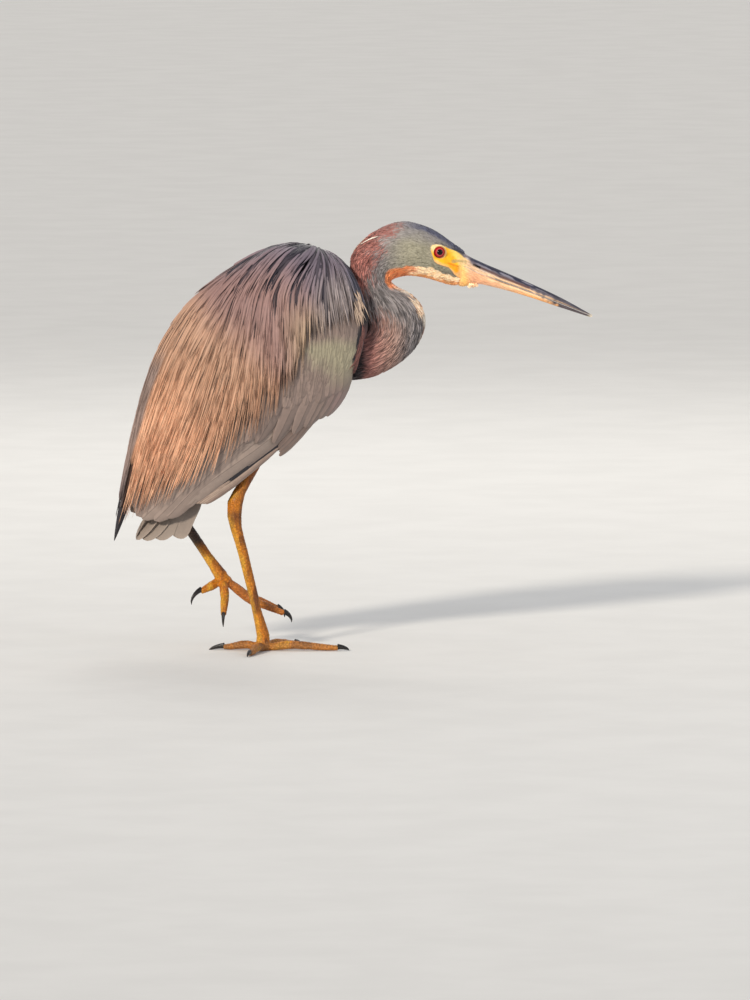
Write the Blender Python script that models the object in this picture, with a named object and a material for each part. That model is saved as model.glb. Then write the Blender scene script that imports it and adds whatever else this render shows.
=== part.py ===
"""A tricolored heron, life size, as a still museum model.

It stands on its right foot with its neck folded and its left foot lifted. +X is the way the
bird faces, +Y its left side and +Z up. The origin is the centre of the sole under the standing
foot, and the floor is z = 0. Lengths are in millimetres here and become metres in add_object.
"""
import math

import bmesh
import bpy
import numpy as np
from mathutils import Vector

MM = 0.001
GAP = 0.35  # between pieces that touch

# Driving sizes of the body
MANTLE_THICK = 3.2
WING_THICK = 4.4
LAYER_GAP = 1.1  # between back plumes and wings, whose facets cross
PLATE_EDGE = 0.7  # plumes and wings thin out to this at their rims
TAIL_ROOT = (-52.5, 124.0)  # x, z
TAIL_TIP = (-87.0, 76.5)
TAIL_THICK = 2.4
TAIL_DROP = 17.5  # how far its outer feathers hang

# Driving sizes of the head
EYE_RADIUS = 5.0
EYE_CENTRE = (119.3, 8.2, 270.8)  # the left eye; the right eye mirrors it
BILL_TOP_WIDTH = 6.6  # half width of the bill where it leaves the face

# Driving sizes of the legs: joints as (x, y, z)
SOLE_RADIUS = 5.6
SOLE_HEIGHT = 10.5
RIGHT_LEG = {"knee": (16, -15, 168), "ankle": (-22.8, -10, 99.7), "foot": (0, 0, SOLE_HEIGHT), "sole": (0, 0, 0)}
LEFT_LEG = {"knee": (12, 19, 186), "ankle": (-78, 13.6, 125), "foot": (-27, 16, 50.4), "sole": (-24, 16, 44.2)}
THIGH_SHARE, SHANK_SHARE = 0.57, 0.86  # of the way from knee to ankle: feathers end, ankle starts
TOE_RADIUS = 2.5
CLAW_RADIUS = 1.45
CLAW_LENGTH = 8.0
HIND_CLAW_LENGTH = 11.0

# Profiles in the body's middle plane. A row is one cross-section, cut from its upper or back
# point (x, z) to its lower or front point (x, z), with its half width across the body.
HEAD_AND_NECK = {
    "bill base": (138.8, 270.6, 134.0, 247.0, 7.6),
    "lores": (129.2, 277.2, 126.5, 248.2, 9.6),
    "eyes": (119.0, 284.4, 119.0, 250.6, 11.6),
    "cheeks": (107.4, 289.4, 109.6, 253.2, 13.2),
    "crown": (95.2, 291.4, 100.0, 254.4, 13.8),
    "hind crown": (82.0, 287.6, 93.6, 253.6, 13.4),
    "nape": (69.6, 279.4, 89.4, 252.2, 13.0),
    "throat": (61.0, 268.6, 87.6, 250.6, 12.6),
    "upper neck": (59.8, 256.0, 88.2, 248.8, 12.8),
    "middle neck": (62.0, 243.8, 92.6, 246.6, 13.4),
    "neck swell": (64.8, 232.8, 101.8, 241.9, 14.4),
    "kink": (66.6, 225.0, 109.4, 232.4, 15.2),
    "neck front": (67.0, 219.8, 111.3, 222.0, 15.8),
    "neck bend": (66.0, 216.2, 104.6, 205.6, 16.6),
    "lower neck": (62.6, 214.4, 91.1, 193.5, 17.6),
    "neck root": (58.4, 214.6, 74.4, 185.6, 19.0),
    "in the breast": (52.0, 216.4, 59.5, 183.6, 20.0),
}
TRUNK = {
    "breast": (61.5, 238.0, 63.0, 220.0, 13.0),
    "shoulders": (54.0, 256.0, 60.5, 196.0, 25.6),
    "back": (36.0, 267.5, 56.0, 178.5, 30.0),
    "deepest": (9.0, 263.5, 43.0, 164.0, 31.5),
    "belly": (-19.0, 248.0, 23.0, 147.5, 30.0),
    "loins": (-43.0, 224.0, 3.0, 131.5, 23.5),
    "rump": (-60.0, 192.0, -15.0, 121.0, 14.0),
    "tail base": (-67.0, 162.0, -31.0, 115.0, 9.5),
    "tail root": (-60.0, 142.5, -40.0, 117.0, 7.0),
}
# The outer plumage, which wings and back plumes follow. The last three numbers are the half
# widths of its right and left sides and its squareness, where 2 is an ellipse.
PLUMAGE = {
    "bend of wing": (57.0, 262.8, 76.5, 214.0, 28.5, 28.5, 2.2),
    "shoulder": (49.0, 270.6, 71.0, 193.0, 34.5, 34.5, 2.2),
    "mantle": (32.0, 278.4, 64.0, 173.0, 40.5, 40.5, 2.15),
    "back": (8.0, 277.2, 50.0, 156.0, 43.5, 43.5, 2.1),
    "middle": (-22.0, 261.0, 31.0, 139.0, 44.0, 44.0, 2.05),
    "loins": (-49.0, 240.0, 8.0, 118.5, 42.0, 43.5, 2.0),
    "rump": (-70.3, 209.6, -13.0, 100.0, 37.5, 42.5, 1.95),
    "tertials": (-85.3, 167.8, -36.0, 82.0, 30.5, 39.0, 1.9),
    "wing ends": (-93.3, 133.3, -57.0, 71.0, 23.0, 33.0, 1.85),
    "wing tips": (-98.8, 104.8, -74.0, 66.0, 15.0, 25.0, 1.8),
    "last tip": (-105.0, 77.0, -96.0, 66.0, 8.0, 13.0, 1.8),
}
# The bill in the same plane: its upper edge, the mouth line and its lower edge at equal steps.
CULMEN = [(139.2, 270.4), (148.9, 263.6), (162.6, 257.3), (183.2, 248.2), (204.0, 238.3), (225.6, 226.3)]
MOUTH = [(137.2, 260.6), (147.0, 255.8), (160.5, 250.9), (181.5, 243.0), (202.5, 234.8), (225.9, 225.6)]
GONYS = [(134.4, 247.2), (145.5, 248.6), (158.5, 246.0), (180.0, 239.9), (201.0, 232.8), (224.0, 225.2)]
BILL_TAPER = [1.0, 0.86, 0.68, 0.52, 0.38, 0.1]

MATERIALS = {
    "slate_feathers": ((0.30, 0.30, 0.33), 0.75),
    "plumes": ((0.47, 0.33, 0.25), 0.8),
    "wing_feathers": ((0.36, 0.31, 0.30), 0.7),
    "tail_feathers": ((0.42, 0.37, 0.35), 0.7),
    "belly_feathers": ((0.85, 0.82, 0.76), 0.85),
    "bill_dark": ((0.13, 0.13, 0.17), 0.35),
    "bill_orange": ((0.85, 0.55, 0.32), 0.35),
    "leg_skin": ((0.72, 0.42, 0.11), 0.5),
    "claw": ((0.05, 0.045, 0.045), 0.3),
    "eye": ((0.35, 0.03, 0.03), 0.05),
}


def clear_scene():
    for old in list(bpy.data.objects):
        bpy.data.objects.remove(old)


def make_material(name):
    colour, roughness = MATERIALS[name]
    made = bpy.data.materials.new(name)
    made.use_nodes = True
    shader = made.node_tree.nodes["Principled BSDF"]
    shader.inputs["Base Color"].default_value = (*colour, 1.0)
    shader.inputs["Roughness"].default_value = roughness
    shader.inputs["Metallic"].default_value = 0.0
    return made


def curve_through(rows, places):
    """A smooth curve through rows of numbers: (f, knots). f(t) runs over t from 0 to 1, knots are
    the rows' own t, and the first `places` numbers of a row are the position that spaces them."""
    table = np.array(rows, float)
    steps = np.linalg.norm(np.diff(table[:, :places], axis=0), axis=1)
    knots = np.concatenate([[0.0], np.cumsum(steps)]) / steps.sum()
    slopes = np.gradient(table, knots, axis=0)

    def at(t):
        i = int(np.clip(np.searchsorted(knots, t, side="right") - 1, 0, len(knots) - 2))
        span = knots[i + 1] - knots[i]
        x = (t - knots[i]) / span
        start = (2 * x**3 - 3 * x**2 + 1) * table[i] + (x**3 - 2 * x**2 + x) * span * slopes[i]
        end = (3 * x**2 - 2 * x**3) * table[i + 1] + (x**3 - x**2) * span * slopes[i + 1]
        return start + end

    return at, knots


def add_object(name, points, faces, material, smooth_angle=40):
    """A named object from points in millimetres, with its faces turned outwards."""
    mesh = bpy.data.meshes.new(name)
    mesh.from_pydata([Vector(p) * MM for p in points], [], faces)
    work = bmesh.new()
    work.from_mesh(mesh)
    bmesh.ops.recalc_face_normals(work, faces=work.faces)
    if work.calc_volume(signed=True) < 0:
        bmesh.ops.reverse_faces(work, faces=work.faces)
    work.to_mesh(mesh)
    work.free()
    mesh.materials.append(material)
    mesh.shade_smooth()
    mesh.set_sharp_from_angle(angle=math.radians(smooth_angle))
    made = bpy.data.objects.new(name, mesh)
    bpy.context.scene.collection.objects.link(made)
    return made


def add_loft(name, rings, material):
    """Rings of equally many points, joined in turn and capped at both ends."""
    count = len(rings[0])
    points = [p for ring in rings for p in ring]
    faces = []
    for i in range(len(rings) - 1):
        for j in range(count):
            k = (j + 1) % count
            faces.append([i * count + j, i * count + k, (i + 1) * count + k, (i + 1) * count + j])
    last = (len(rings) - 1) * count
    faces.append(list(range(count))[::-1])
    faces.append([last + j for j in range(count)])
    return add_object(name, points, faces, material)


def add_plate(name, outer, inner, material):
    """A thin closed plate between two grids of points of the same size."""
    rows, columns = len(outer), len(outer[0])
    points = [p for row in outer for p in row] + [p for row in inner for p in row]
    under = rows * columns
    faces = []
    for i in range(rows - 1):
        for j in range(columns - 1):
            a = i * columns + j
            quad = [a, a + 1, a + columns + 1, a + columns]
            faces.append(quad)
            faces.append([under + k for k in reversed(quad)])
    rim = [(0, j) for j in range(columns)] + [(i, columns - 1) for i in range(1, rows)]
    rim += [(rows - 1, j) for j in range(columns - 2, -1, -1)] + [(i, 0) for i in range(rows - 2, 0, -1)]
    around = [i * columns + j for i, j in rim]
    for a, b in zip(around, around[1:] + around[:1]):
        faces.append([b, a, under + a, under + b])
    return add_object(name, points, faces, material)


def carve(target, cutter):
    """Cuts a hidden helper out of a piece."""
    cutter.hide_render = True
    cutter.display_type = "WIRE"
    cut = target.modifiers.new("cut_by_" + cutter.name, "BOOLEAN")
    cut.operation = "DIFFERENCE"
    cut.solver = "EXACT"
    cut.object = cutter


class Profile:
    """A form given by cross-sections in the middle plane, as in HEAD_AND_NECK or PLUMAGE."""

    def __init__(self, rows):
        self.at, knots = curve_through(list(rows.values()), 4)
        self.knot = dict(zip(rows, knots))

    def point(self, t, angle, inset=0.0):
        """The surface point at t along the form. Angle 0 is the back, 90 degrees its right side."""
        up_x, up_z, low_x, low_z, right, *rest = self.at(t)
        left, power = (rest[0], rest[1]) if rest else (right, 2.15)
        half = math.hypot(up_x - low_x, up_z - low_z) / 2
        c, s = math.cos(angle), math.sin(angle)
        reach = (abs(c) ** power + abs(s) ** power) ** (-1 / power)
        depth = max(half - inset, 0.4) * reach * c
        width = max((right if s > 0 else left) - inset, 0.4) * reach * s
        lean = (up_x - low_x) / (2 * half), (up_z - low_z) / (2 * half)
        return (
            (up_x + low_x) / 2 + lean[0] * depth,
            -width,
            (up_z + low_z) / 2 + lean[1] * depth,
        )

    def rings(self, start, end, count, around, inset=0.0):
        turn = 2 * math.pi / around
        places = [start + (end - start) * i / (count - 1) for i in range(count)]
        return [[self.point(t, turn * j, inset) for j in range(around)] for t in places]


def sphere_rings(centre, radius, count=8, around=14):
    """Rings of a ball whose poles point sideways, along Y."""
    rings = []
    for i in range(count):
        polar = math.pi * (i + 0.25) / (count - 0.5)
        ring_radius, along = radius * math.sin(polar), radius * math.cos(polar)
        turns = [2 * math.pi * j / around for j in range(around)]
        rings.append(
            [
                (
                    centre[0] + ring_radius * math.cos(a),
                    centre[1] + along,
                    centre[2] + ring_radius * math.sin(a),
                )
                for a in turns
            ]
        )
    return rings


def tube_rings(path, radius_at, start, end, count, around, floor=None):
    """Rings round a 3-D path f(t). With a floor, points below it are pressed flat onto it."""
    rings = []
    side = None
    for i in range(count):
        t = start + (end - start) * i / (count - 1)
        here = Vector(path(t)[:3])
        ahead = (Vector(path(min(t + 0.01, 1))[:3]) - Vector(path(max(t - 0.01, 0))[:3])).normalized()
        if side is None:
            side = ahead.cross(Vector((0, 0, 1)))
            if side.length < 0.3:
                side = ahead.cross(Vector((1, 0, 0)))
        side = (side - ahead * side.dot(ahead)).normalized()
        up = side.cross(ahead)
        ring = []
        for j in range(around):
            a = 2 * math.pi * (j + 0.5) / around
            p = here + (up * math.cos(a) + side * math.sin(a)) * radius_at(t)
            if floor is not None:
                p.z = max(p.z, floor)
            ring.append(tuple(p))
        rings.append(ring)
    return rings


def build_head_and_neck(colour):
    form = Profile(HEAD_AND_NECK)
    lengths = [
        ("head", "bill base", "nape", 13),
        ("neck_upper", "nape", "neck swell", 9),
        ("neck_middle", "neck swell", "neck bend", 7),
        ("neck_lower", "neck bend", "in the breast", 7),
    ]
    pieces = {}
    half_gap = 0.0009  # about half of GAP, as a share of the whole form's length
    for name, first, last, count in lengths:
        start = form.knot[first] + (half_gap if first != "bill base" else 0)
        end = form.knot[last] - half_gap
        rings = form.rings(start, end, count, 20)
        pieces[name] = add_loft(name, rings, colour["slate_feathers"])
    return pieces


def build_eyes(head, colour):
    for side, name in ((1, "left"), (-1, "right")):
        centre = (EYE_CENTRE[0], side * EYE_CENTRE[1], EYE_CENTRE[2])
        add_loft("eye_" + name, sphere_rings(centre, EYE_RADIUS), colour["eye"])
        socket = add_loft("cutter_socket_" + name, sphere_rings(centre, EYE_RADIUS + GAP), colour["eye"])
        carve(head, socket)


def build_bill(colour):
    """Two mandibles that meet along the mouth line."""
    for name, top, bottom, material in (
        ("bill_upper", CULMEN, MOUTH, "bill_dark"),
        ("bill_lower", MOUTH, GONYS, "bill_orange"),
    ):
        rows = [
            (*a, *b, BILL_TOP_WIDTH * w)
            for a, b, w in zip(top, bottom, BILL_TAPER)
        ]
        at, _ = curve_through(rows, 4)
        rings = []
        for i in range(10):
            t = i / 9
            up_x, up_z, low_x, low_z, half_width = at(t)
            # Each mandible is flat along the mouth and round away from it.
            upper = name == "bill_upper"
            edge, ridge = ((low_x, low_z), (up_x, up_z)) if upper else ((up_x, up_z), (low_x, low_z))
            shift = GAP / 2 if upper else -GAP / 2
            ring = []
            for j in range(12):
                a = math.pi * j / 11
                rise = math.sin(a) ** 0.8
                ring.append(
                    (
                        edge[0] + (ridge[0] - edge[0]) * rise + GAP,
                        half_width * math.cos(a),
                        edge[1] + (ridge[1] - edge[1]) * rise + shift,
                    )
                )
            rings.append(ring)
        add_loft(name, rings, colour[material])


def build_trunk(colour):
    form = Profile(TRUNK)
    trunk = add_loft("trunk", form.rings(0, 1, 18, 18), colour["belly_feathers"])
    grown = add_loft("cutter_trunk", form.rings(0, 1, 18, 18, inset=-GAP), colour["belly_feathers"])
    return trunk, grown


def plate_grids(form, where, rows, columns, inset, thickness):
    """Outer and inner points of a plate on a form. where(s, t) gives the form's t and angle for
    s from 0 at the front to 1 at the tips and t from 0 to 1 across."""
    outer, inner = [], []
    for i in range(rows):
        s = i / (rows - 1)
        outer.append([])
        inner.append([])
        for j in range(columns):
            t = j / (columns - 1)
            along, angle = where(s, t)
            rim = min(1.0, 4 * min(s, 1 - s), 5 * min(t, 1 - t))
            thick = PLATE_EDGE + (thickness - PLATE_EDGE) * math.sqrt(max(rim, 0))
            outer[-1].append(form.point(along, angle, inset))
            inner[-1].append(form.point(along, angle, inset + thick))
    return outer, inner


def smooth_step(x, low, high):
    x = min(1.0, max(0.0, (x - low) / (high - low)))
    return x * x * (3 - 2 * x)


def build_wings(colour):
    """Each wing is a plate round the body's side, from under the back plumes to its lower edge.
    Its end is cut into rounded feather tips. The left wing ends in one long primary."""
    form = Profile(PLUMAGE)
    inset = MANTLE_THICK + LAYER_GAP
    tips = 5
    for side, name in ((1, "wing_right"), (-1, "wing_left")):

        def where(s, t, side=side):
            top = 60 - 42 * smooth_step(s, 0.05, 0.6)
            low = 124 + 27 * smooth_step(s, 0.0, 0.24) - 6 * smooth_step(s, 0.22, 0.7)
            low -= 46 * smooth_step(s, 0.68, 1.12)
            angle = top + (low - top) * t
            front = form.knot["bend of wing"] + 0.055 * smooth_step(angle, 88, 118)
            scallop = 0.02 * (abs(math.sin(math.pi * tips * t)) ** 0.6 - 1)
            if side > 0:
                end = 0.918 - 0.04 * t**1.5 + scallop
            else:
                end = 0.992 - 0.115 * smooth_step(t, 0.05, 0.42) - 0.02 * t + scallop * smooth_step(t, 0.2, 0.4)
            return front + (end - front) * s, side * math.radians(angle)

        outer, inner = plate_grids(form, where, 14, 11, inset, WING_THICK)
        add_plate(name, outer, inner, colour["wing_feathers"])


def build_mantle(colour):
    """The long plumes that hang from the back over both wings, ending in ragged points."""
    form = Profile(PLUMAGE)
    points = 9

    def where(s, t):
        across = 2 * t - 1
        spread = math.radians(100 + 16 * math.sin(math.pi * min(1, 1.1 * s)))
        fringe = 0.016 * (1 - abs(2 * ((t * points) % 1) - 1))
        end = 0.945 - 0.33 * abs(across) ** 3.0 - 0.016 + fringe
        return 0.004 + (end - 0.004) * s, spread * across

    outer, inner = plate_grids(form, where, 17, 2 * points + 1, 0.0, MANTLE_THICK)
    add_plate("mantle", outer, inner, colour["plumes"])


def build_tail(colour):
    """A closed tail: its middle feathers on top, the shorter outer ones hanging at its sides."""
    root = Vector((TAIL_ROOT[0], 0, TAIL_ROOT[1]))
    tip = Vector((TAIL_TIP[0], 0, TAIL_TIP[1]))
    along = (tip - root).normalized()
    up = Vector((along.z, 0, -along.x))
    feathers = 5
    outer, inner = [], []
    for i in range(7):
        s = i / 6
        outer.append([])
        inner.append([])
        for j in range(2 * feathers + 1):
            across = 2 * j / (2 * feathers) - 1
            width = 6.5 + 6.0 * s
            cut = 2.5 * (j % 2 == 0) + 13.0 * across**2
            middle = root + along * (s * ((tip - root).length - cut * s))
            middle += Vector((0, width * math.sin(1.25 * across), 0))
            middle -= up * TAIL_DROP * (0.55 + 0.45 * s) * across**2
            lean = Vector((0, 0.8 * across, 0)) + up * math.sqrt(1 - 0.64 * across**2)
            thick = TAIL_THICK if abs(across) < 0.95 and 0 < i < 6 else PLATE_EDGE
            outer[-1].append(tuple(middle + lean * thick / 2))
            inner[-1].append(tuple(middle - lean * thick / 2))
    add_plate("tail", outer, inner, colour["tail_feathers"])


def leg_path(joints):
    """A leg's line from knee to foot, with a rounded bend at the ankle."""
    knee, ankle, foot, sole = (Vector(joints[k]) for k in ("knee", "ankle", "foot", "sole"))
    bend = 9.0
    shank, shin = (ankle - knee).normalized(), (foot - ankle).normalized()
    rows = [knee.lerp(ankle, s) for s in (0, 0.4, 0.75)]
    rows += [ankle - shank * bend, ankle + (shin - shank) * bend * 0.29, ankle + shin * bend]
    rows += [ankle.lerp(foot, s) for s in (0.35, 0.7, 0.92)]
    rows += [foot - (sole - foot).normalized() * 2.5, foot]
    path, knots = curve_through([tuple(r) for r in rows], 3)
    return path, knots[4]


def build_leg(name, joints, grown_trunk, colour):
    path, ankle = leg_path(joints)

    def radius_at(t):
        if t < ankle:
            share = t / ankle
            feathered = 5.2 * (1 - (share / THIGH_SHARE) ** 2) if share < THIGH_SHARE else 0
            return 3.7 + feathered + 1.8 * math.exp(-(((1 - share) / 0.13) ** 2))
        share = (t - ankle) / (1 - ankle)
        ends = 1.7 * math.exp(-((share / 0.13) ** 2)) + 1.6 * math.exp(-(((1 - share) / 0.1) ** 2))
        return 3.8 - 0.75 * share + ends

    thigh_end, shank_end = ankle * THIGH_SHARE, ankle * SHANK_SHARE
    gap = 0.0018  # about GAP, as a share of the leg's length
    thigh = add_loft(
        "thigh_" + name,
        tube_rings(path, radius_at, 0.02, thigh_end, 6, 12),
        colour["belly_feathers"],
    )
    carve(thigh, grown_trunk)
    shank = add_loft(
        "shank_" + name,
        tube_rings(path, radius_at, thigh_end + gap, shank_end, 5, 10),
        colour["leg_skin"],
    )
    carve(shank, grown_trunk)
    add_loft(
        "tarsus_" + name,
        tube_rings(path, radius_at, shank_end + gap, 1, 13, 10),
        colour["leg_skin"],
    )


def build_sole(name, centre, top, colour):
    """The pad where the toes meet, from the end of the tarsus down. Returns a grown copy."""
    centre, top = Vector(centre), Vector(top)
    reach = top - centre

    def rings_of(grow):
        rows = [(1.0 - GAP / reach.length, 4.4), (0.6, 4.7), (0.35, SOLE_RADIUS), (0.15, SOLE_RADIUS)]
        rows.append((0.0, SOLE_RADIUS - 1.2))
        axis = reach.normalized()
        side = axis.cross(Vector((0, 1, 0))).normalized()
        other = axis.cross(side)
        rings = []
        for share, radius in rows:
            here = centre + reach * share - axis * (grow if share == 0 else 0)
            turns = [2 * math.pi * j / 12 for j in range(12)]
            rings.append(
                [tuple(here + (side * math.cos(a) + other * math.sin(a)) * (radius + grow)) for a in turns]
            )
        return rings

    add_loft("foot_" + name, rings_of(0), colour["leg_skin"])
    return add_loft("cutter_foot_" + name, rings_of(GAP), colour["leg_skin"])


def build_toe(name, path_points, joints, claw_length, grown_sole, floor, colour):
    """A toe with a pad at each joint, and its curved claw."""
    path, _ = curve_through(path_points, 3)

    def radius_at(t):
        pads = 0.5 * (1 + math.cos(2 * math.pi * joints * t))
        fullness = 1 + 1.3 * t * (1 - t) ** 1.6 - 0.26 * t  # slim at the root, full, then tapering
        return TOE_RADIUS * fullness * (0.94 + 0.1 * pads) * (1 if t < 0.97 else 0.86)

    rings = tube_rings(path, radius_at, 0, 1, 2 * joints + 3, 8, floor)
    toe = add_loft("toe_" + name, rings, colour["leg_skin"])
    carve(toe, grown_sole)

    end = Vector(path(1)[:3])
    ahead = (end - Vector(path(0.96)[:3])).normalized()
    down = (Vector((0, 0, -1)) + ahead * ahead.z).normalized()
    # The claw leaves the top of the toe, rises a little and bends down to a point.
    lift = 0.55 if floor is None else 0.25
    steps = 6
    rings = []
    for i in range(steps):
        s = i / (steps - 1)
        here = end + ahead * (GAP + claw_length * 0.92 * math.sin(1.35 * s) / math.sin(1.35))
        here = here + down * (claw_length * lift * s**2 - 0.6)
        way = (ahead * math.cos(1.35 * s) + down * 1.3 * lift * s).normalized()
        side = way.cross(down).normalized()
        up = side.cross(way)
        radius = CLAW_RADIUS * (1 - s) ** 0.8 + 0.22
        ring = []
        for a in [2 * math.pi * j / 6 for j in range(6)]:
            p = here + (up * math.cos(a) * 1.15 + side * math.sin(a) * 0.85) * radius
            if floor is not None:
                p.z = max(p.z, floor)
            ring.append(tuple(p))
        rings.append(ring)
    add_loft("claw_" + name, rings, colour["claw"])


def standing_toe(heading, length, arch):
    """Points of a toe on the floor, from inside the sole outwards, arched between its joints."""
    out = Vector((math.cos(math.radians(heading)), math.sin(math.radians(heading)), 0))
    start, rise = 3.0, 2.1
    rows = []
    for share in (0.0, 0.3, 0.55, 0.8, 1.0):
        height = rise + arch * math.sin(math.pi * share) * (1 - share)
        point = out * (start + (length - start) * share) + Vector((0, 0, height))
        rows.append(tuple(point))
    return rows


def build_feet(colour):
    sole = build_sole("right", RIGHT_LEG["sole"], RIGHT_LEG["foot"], colour)
    for toe, heading, length, joints, claw in (
        ("hind", 165, 27, 2, HIND_CLAW_LENGTH),
        ("inner", 46, 37, 3, CLAW_LENGTH),
        ("middle", -12, 51, 4, CLAW_LENGTH),
        ("outer", -110, 42, 4, CLAW_LENGTH),
    ):
        rows = standing_toe(heading, length, 3.2)
        build_toe("right_" + toe, rows, joints, claw, sole, 0.0, colour)

    centre, top = Vector(LEFT_LEG["sole"]), Vector(LEFT_LEG["foot"])
    inside = centre.lerp(top, 0.4)
    sole = build_sole("left", centre, top, colour)
    # From the middle of the lifted sole to each toe's root, knuckle and tip.
    for toe, root, knuckle, tip, joints, claw in (
        ("hind", (-2, 0, 0), (-9.5, -3.0, -0.8), (-17.0, -5.5, -4.2), 2, HIND_CLAW_LENGTH),
        ("inner", (-0.5, -3, -0.5), (-1.5, -10.5, -7.5), (-3.5, -19.0, -19.0), 3, CLAW_LENGTH),
        ("middle", (2, -0.8, 0), (16.5, 0.5, -10.5), (40.4, 2.0, -20.6), 4, CLAW_LENGTH),
        ("outer", (1.5, 4.4, 0), (15.0, 9.0, -8.2), (37.5, 14.0, -18.3), 4, CLAW_LENGTH),
    ):
        root, knuckle, tip = inside + Vector(root), centre + Vector(knuckle), centre + Vector(tip)
        rows = [root, root.lerp(knuckle, 0.55), knuckle, knuckle.lerp(tip, 0.5), tip]
        build_toe("left_" + toe, [tuple(r) for r in rows], joints, claw, sole, None, colour)


def build_heron():
    clear_scene()
    colour = {name: make_material(name) for name in MATERIALS}
    pieces = build_head_and_neck(colour)
    build_eyes(pieces["head"], colour)
    build_bill(colour)
    _, grown_trunk = build_trunk(colour)
    carve(pieces["neck_lower"], grown_trunk)
    build_wings(colour)
    build_mantle(colour)
    build_tail(colour)
    build_leg("right", RIGHT_LEG, grown_trunk, colour)
    build_leg("left", LEFT_LEG, grown_trunk, colour)
    build_feet(colour)


build_heron()
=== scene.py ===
"""The dressed heron: skin, feathers, eyes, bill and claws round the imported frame.

Lengths are in millimetres until a mesh is made. +X is the way the bird faces, +Y its left side
and +Z up. The forms below are the ones the solids have, so the coat lies where the solids lie.
Outlines and guide lines are (x, z) points in the body's middle plane.
"""
import math

import bpy
import numpy as np
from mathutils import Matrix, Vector


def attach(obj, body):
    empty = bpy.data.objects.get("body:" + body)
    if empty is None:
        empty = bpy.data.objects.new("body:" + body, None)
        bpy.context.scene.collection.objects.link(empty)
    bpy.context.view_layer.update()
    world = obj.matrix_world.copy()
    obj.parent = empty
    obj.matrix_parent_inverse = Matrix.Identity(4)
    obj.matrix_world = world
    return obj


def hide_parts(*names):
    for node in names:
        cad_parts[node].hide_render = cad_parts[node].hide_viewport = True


MM = 0.001
RIGHT, LEFT = 1, -1
ROOT = "root"
FULL_TURN = 2 * np.pi

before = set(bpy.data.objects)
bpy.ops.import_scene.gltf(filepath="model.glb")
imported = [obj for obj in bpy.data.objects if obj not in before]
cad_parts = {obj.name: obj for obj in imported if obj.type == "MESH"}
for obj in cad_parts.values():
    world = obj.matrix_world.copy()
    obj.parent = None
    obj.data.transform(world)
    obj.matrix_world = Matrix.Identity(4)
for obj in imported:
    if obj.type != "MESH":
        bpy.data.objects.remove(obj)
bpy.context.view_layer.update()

# ---------------------------------------------------------------- sizes shared with the solids

# Sections: the back's x and z, the front's x and z, and the half width
HEAD_AND_NECK = {
    "bill base": (138.8, 270.6, 134.0, 247.0, 7.6),
    "lores": (129.2, 277.2, 126.5, 248.2, 9.6),
    "eyes": (119.0, 284.4, 119.0, 250.6, 11.6),
    "cheeks": (107.4, 289.4, 109.6, 253.2, 13.2),
    "crown": (95.2, 291.4, 100.0, 254.4, 13.8),
    "hind crown": (82.0, 287.6, 93.6, 253.6, 13.4),
    "nape": (69.6, 279.4, 89.4, 252.2, 13.0),
    "throat": (61.0, 268.6, 87.6, 250.6, 12.6),
    "upper neck": (59.8, 256.0, 88.2, 248.8, 12.8),
    "middle neck": (62.0, 243.8, 92.6, 246.6, 13.4),
    "neck swell": (64.8, 232.8, 101.8, 241.9, 14.4),
    "kink": (66.6, 225.0, 109.4, 232.4, 15.2),
    "neck front": (67.0, 219.8, 111.3, 222.0, 15.8),
    "neck bend": (66.0, 216.2, 104.6, 205.6, 16.6),
    "lower neck": (62.6, 214.4, 91.1, 193.5, 17.6),
    "neck root": (58.4, 214.6, 74.4, 185.6, 19.0),
    "in the breast": (52.0, 216.4, 59.5, 183.6, 20.0),
}
TRUNK = {
    "breast": (61.5, 238.0, 63.0, 220.0, 13.0),
    "shoulders": (54.0, 256.0, 60.5, 196.0, 25.6),
    "back": (36.0, 267.5, 56.0, 178.5, 30.0),
    "deepest": (9.0, 263.5, 43.0, 164.0, 31.5),
    "belly": (-19.0, 248.0, 23.0, 147.5, 30.0),
    "loins": (-43.0, 224.0, 3.0, 131.5, 23.5),
    "rump": (-60.0, 192.0, -15.0, 121.0, 14.0),
    "tail base": (-67.0, 162.0, -31.0, 115.0, 9.5),
    "tail root": (-60.0, 142.5, -40.0, 117.0, 7.0),
}
# The same, with half widths for the right and left side, and how square the section is
PLUMAGE = {
    "bend of wing": (57.0, 262.8, 76.5, 214.0, 28.5, 28.5, 2.2),
    "shoulder": (49.0, 270.6, 71.0, 193.0, 34.5, 34.5, 2.2),
    "mantle": (32.0, 278.4, 64.0, 173.0, 40.5, 40.5, 2.15),
    "back": (8.0, 277.2, 50.0, 156.0, 43.5, 43.5, 2.1),
    "middle": (-22.0, 261.0, 31.0, 139.0, 44.0, 44.0, 2.05),
    "loins": (-49.0, 240.0, 8.0, 118.5, 42.0, 43.5, 2.0),
    "rump": (-70.3, 209.6, -13.0, 100.0, 37.5, 42.5, 1.95),
    "tertials": (-85.3, 167.8, -36.0, 82.0, 30.5, 39.0, 1.9),
    "wing ends": (-93.3, 133.3, -57.0, 71.0, 23.0, 33.0, 1.85),
    "wing tips": (-98.8, 104.8, -74.0, 66.0, 15.0, 25.0, 1.8),
    "last tip": (-105.0, 77.0, -96.0, 66.0, 8.0, 13.0, 1.8),
}
ROUNDNESS = 2.15
CULMEN = [(139.2, 268.2), (148.9, 263.2), (162.6, 257.3), (183.2, 248.2), (204.0, 238.3), (225.6, 226.3)]
MOUTH = [(137.2, 260.6), (147.0, 255.8), (160.5, 250.9), (181.5, 243.0), (202.5, 234.8), (225.9, 225.6)]
GONYS = [(134.4, 247.2), (145.5, 248.6), (158.5, 246.0), (180.0, 239.9), (201.0, 232.8), (224.0, 225.2)]
BILL_TAPER = [1.0, 0.86, 0.68, 0.52, 0.38, 0.1]
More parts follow.
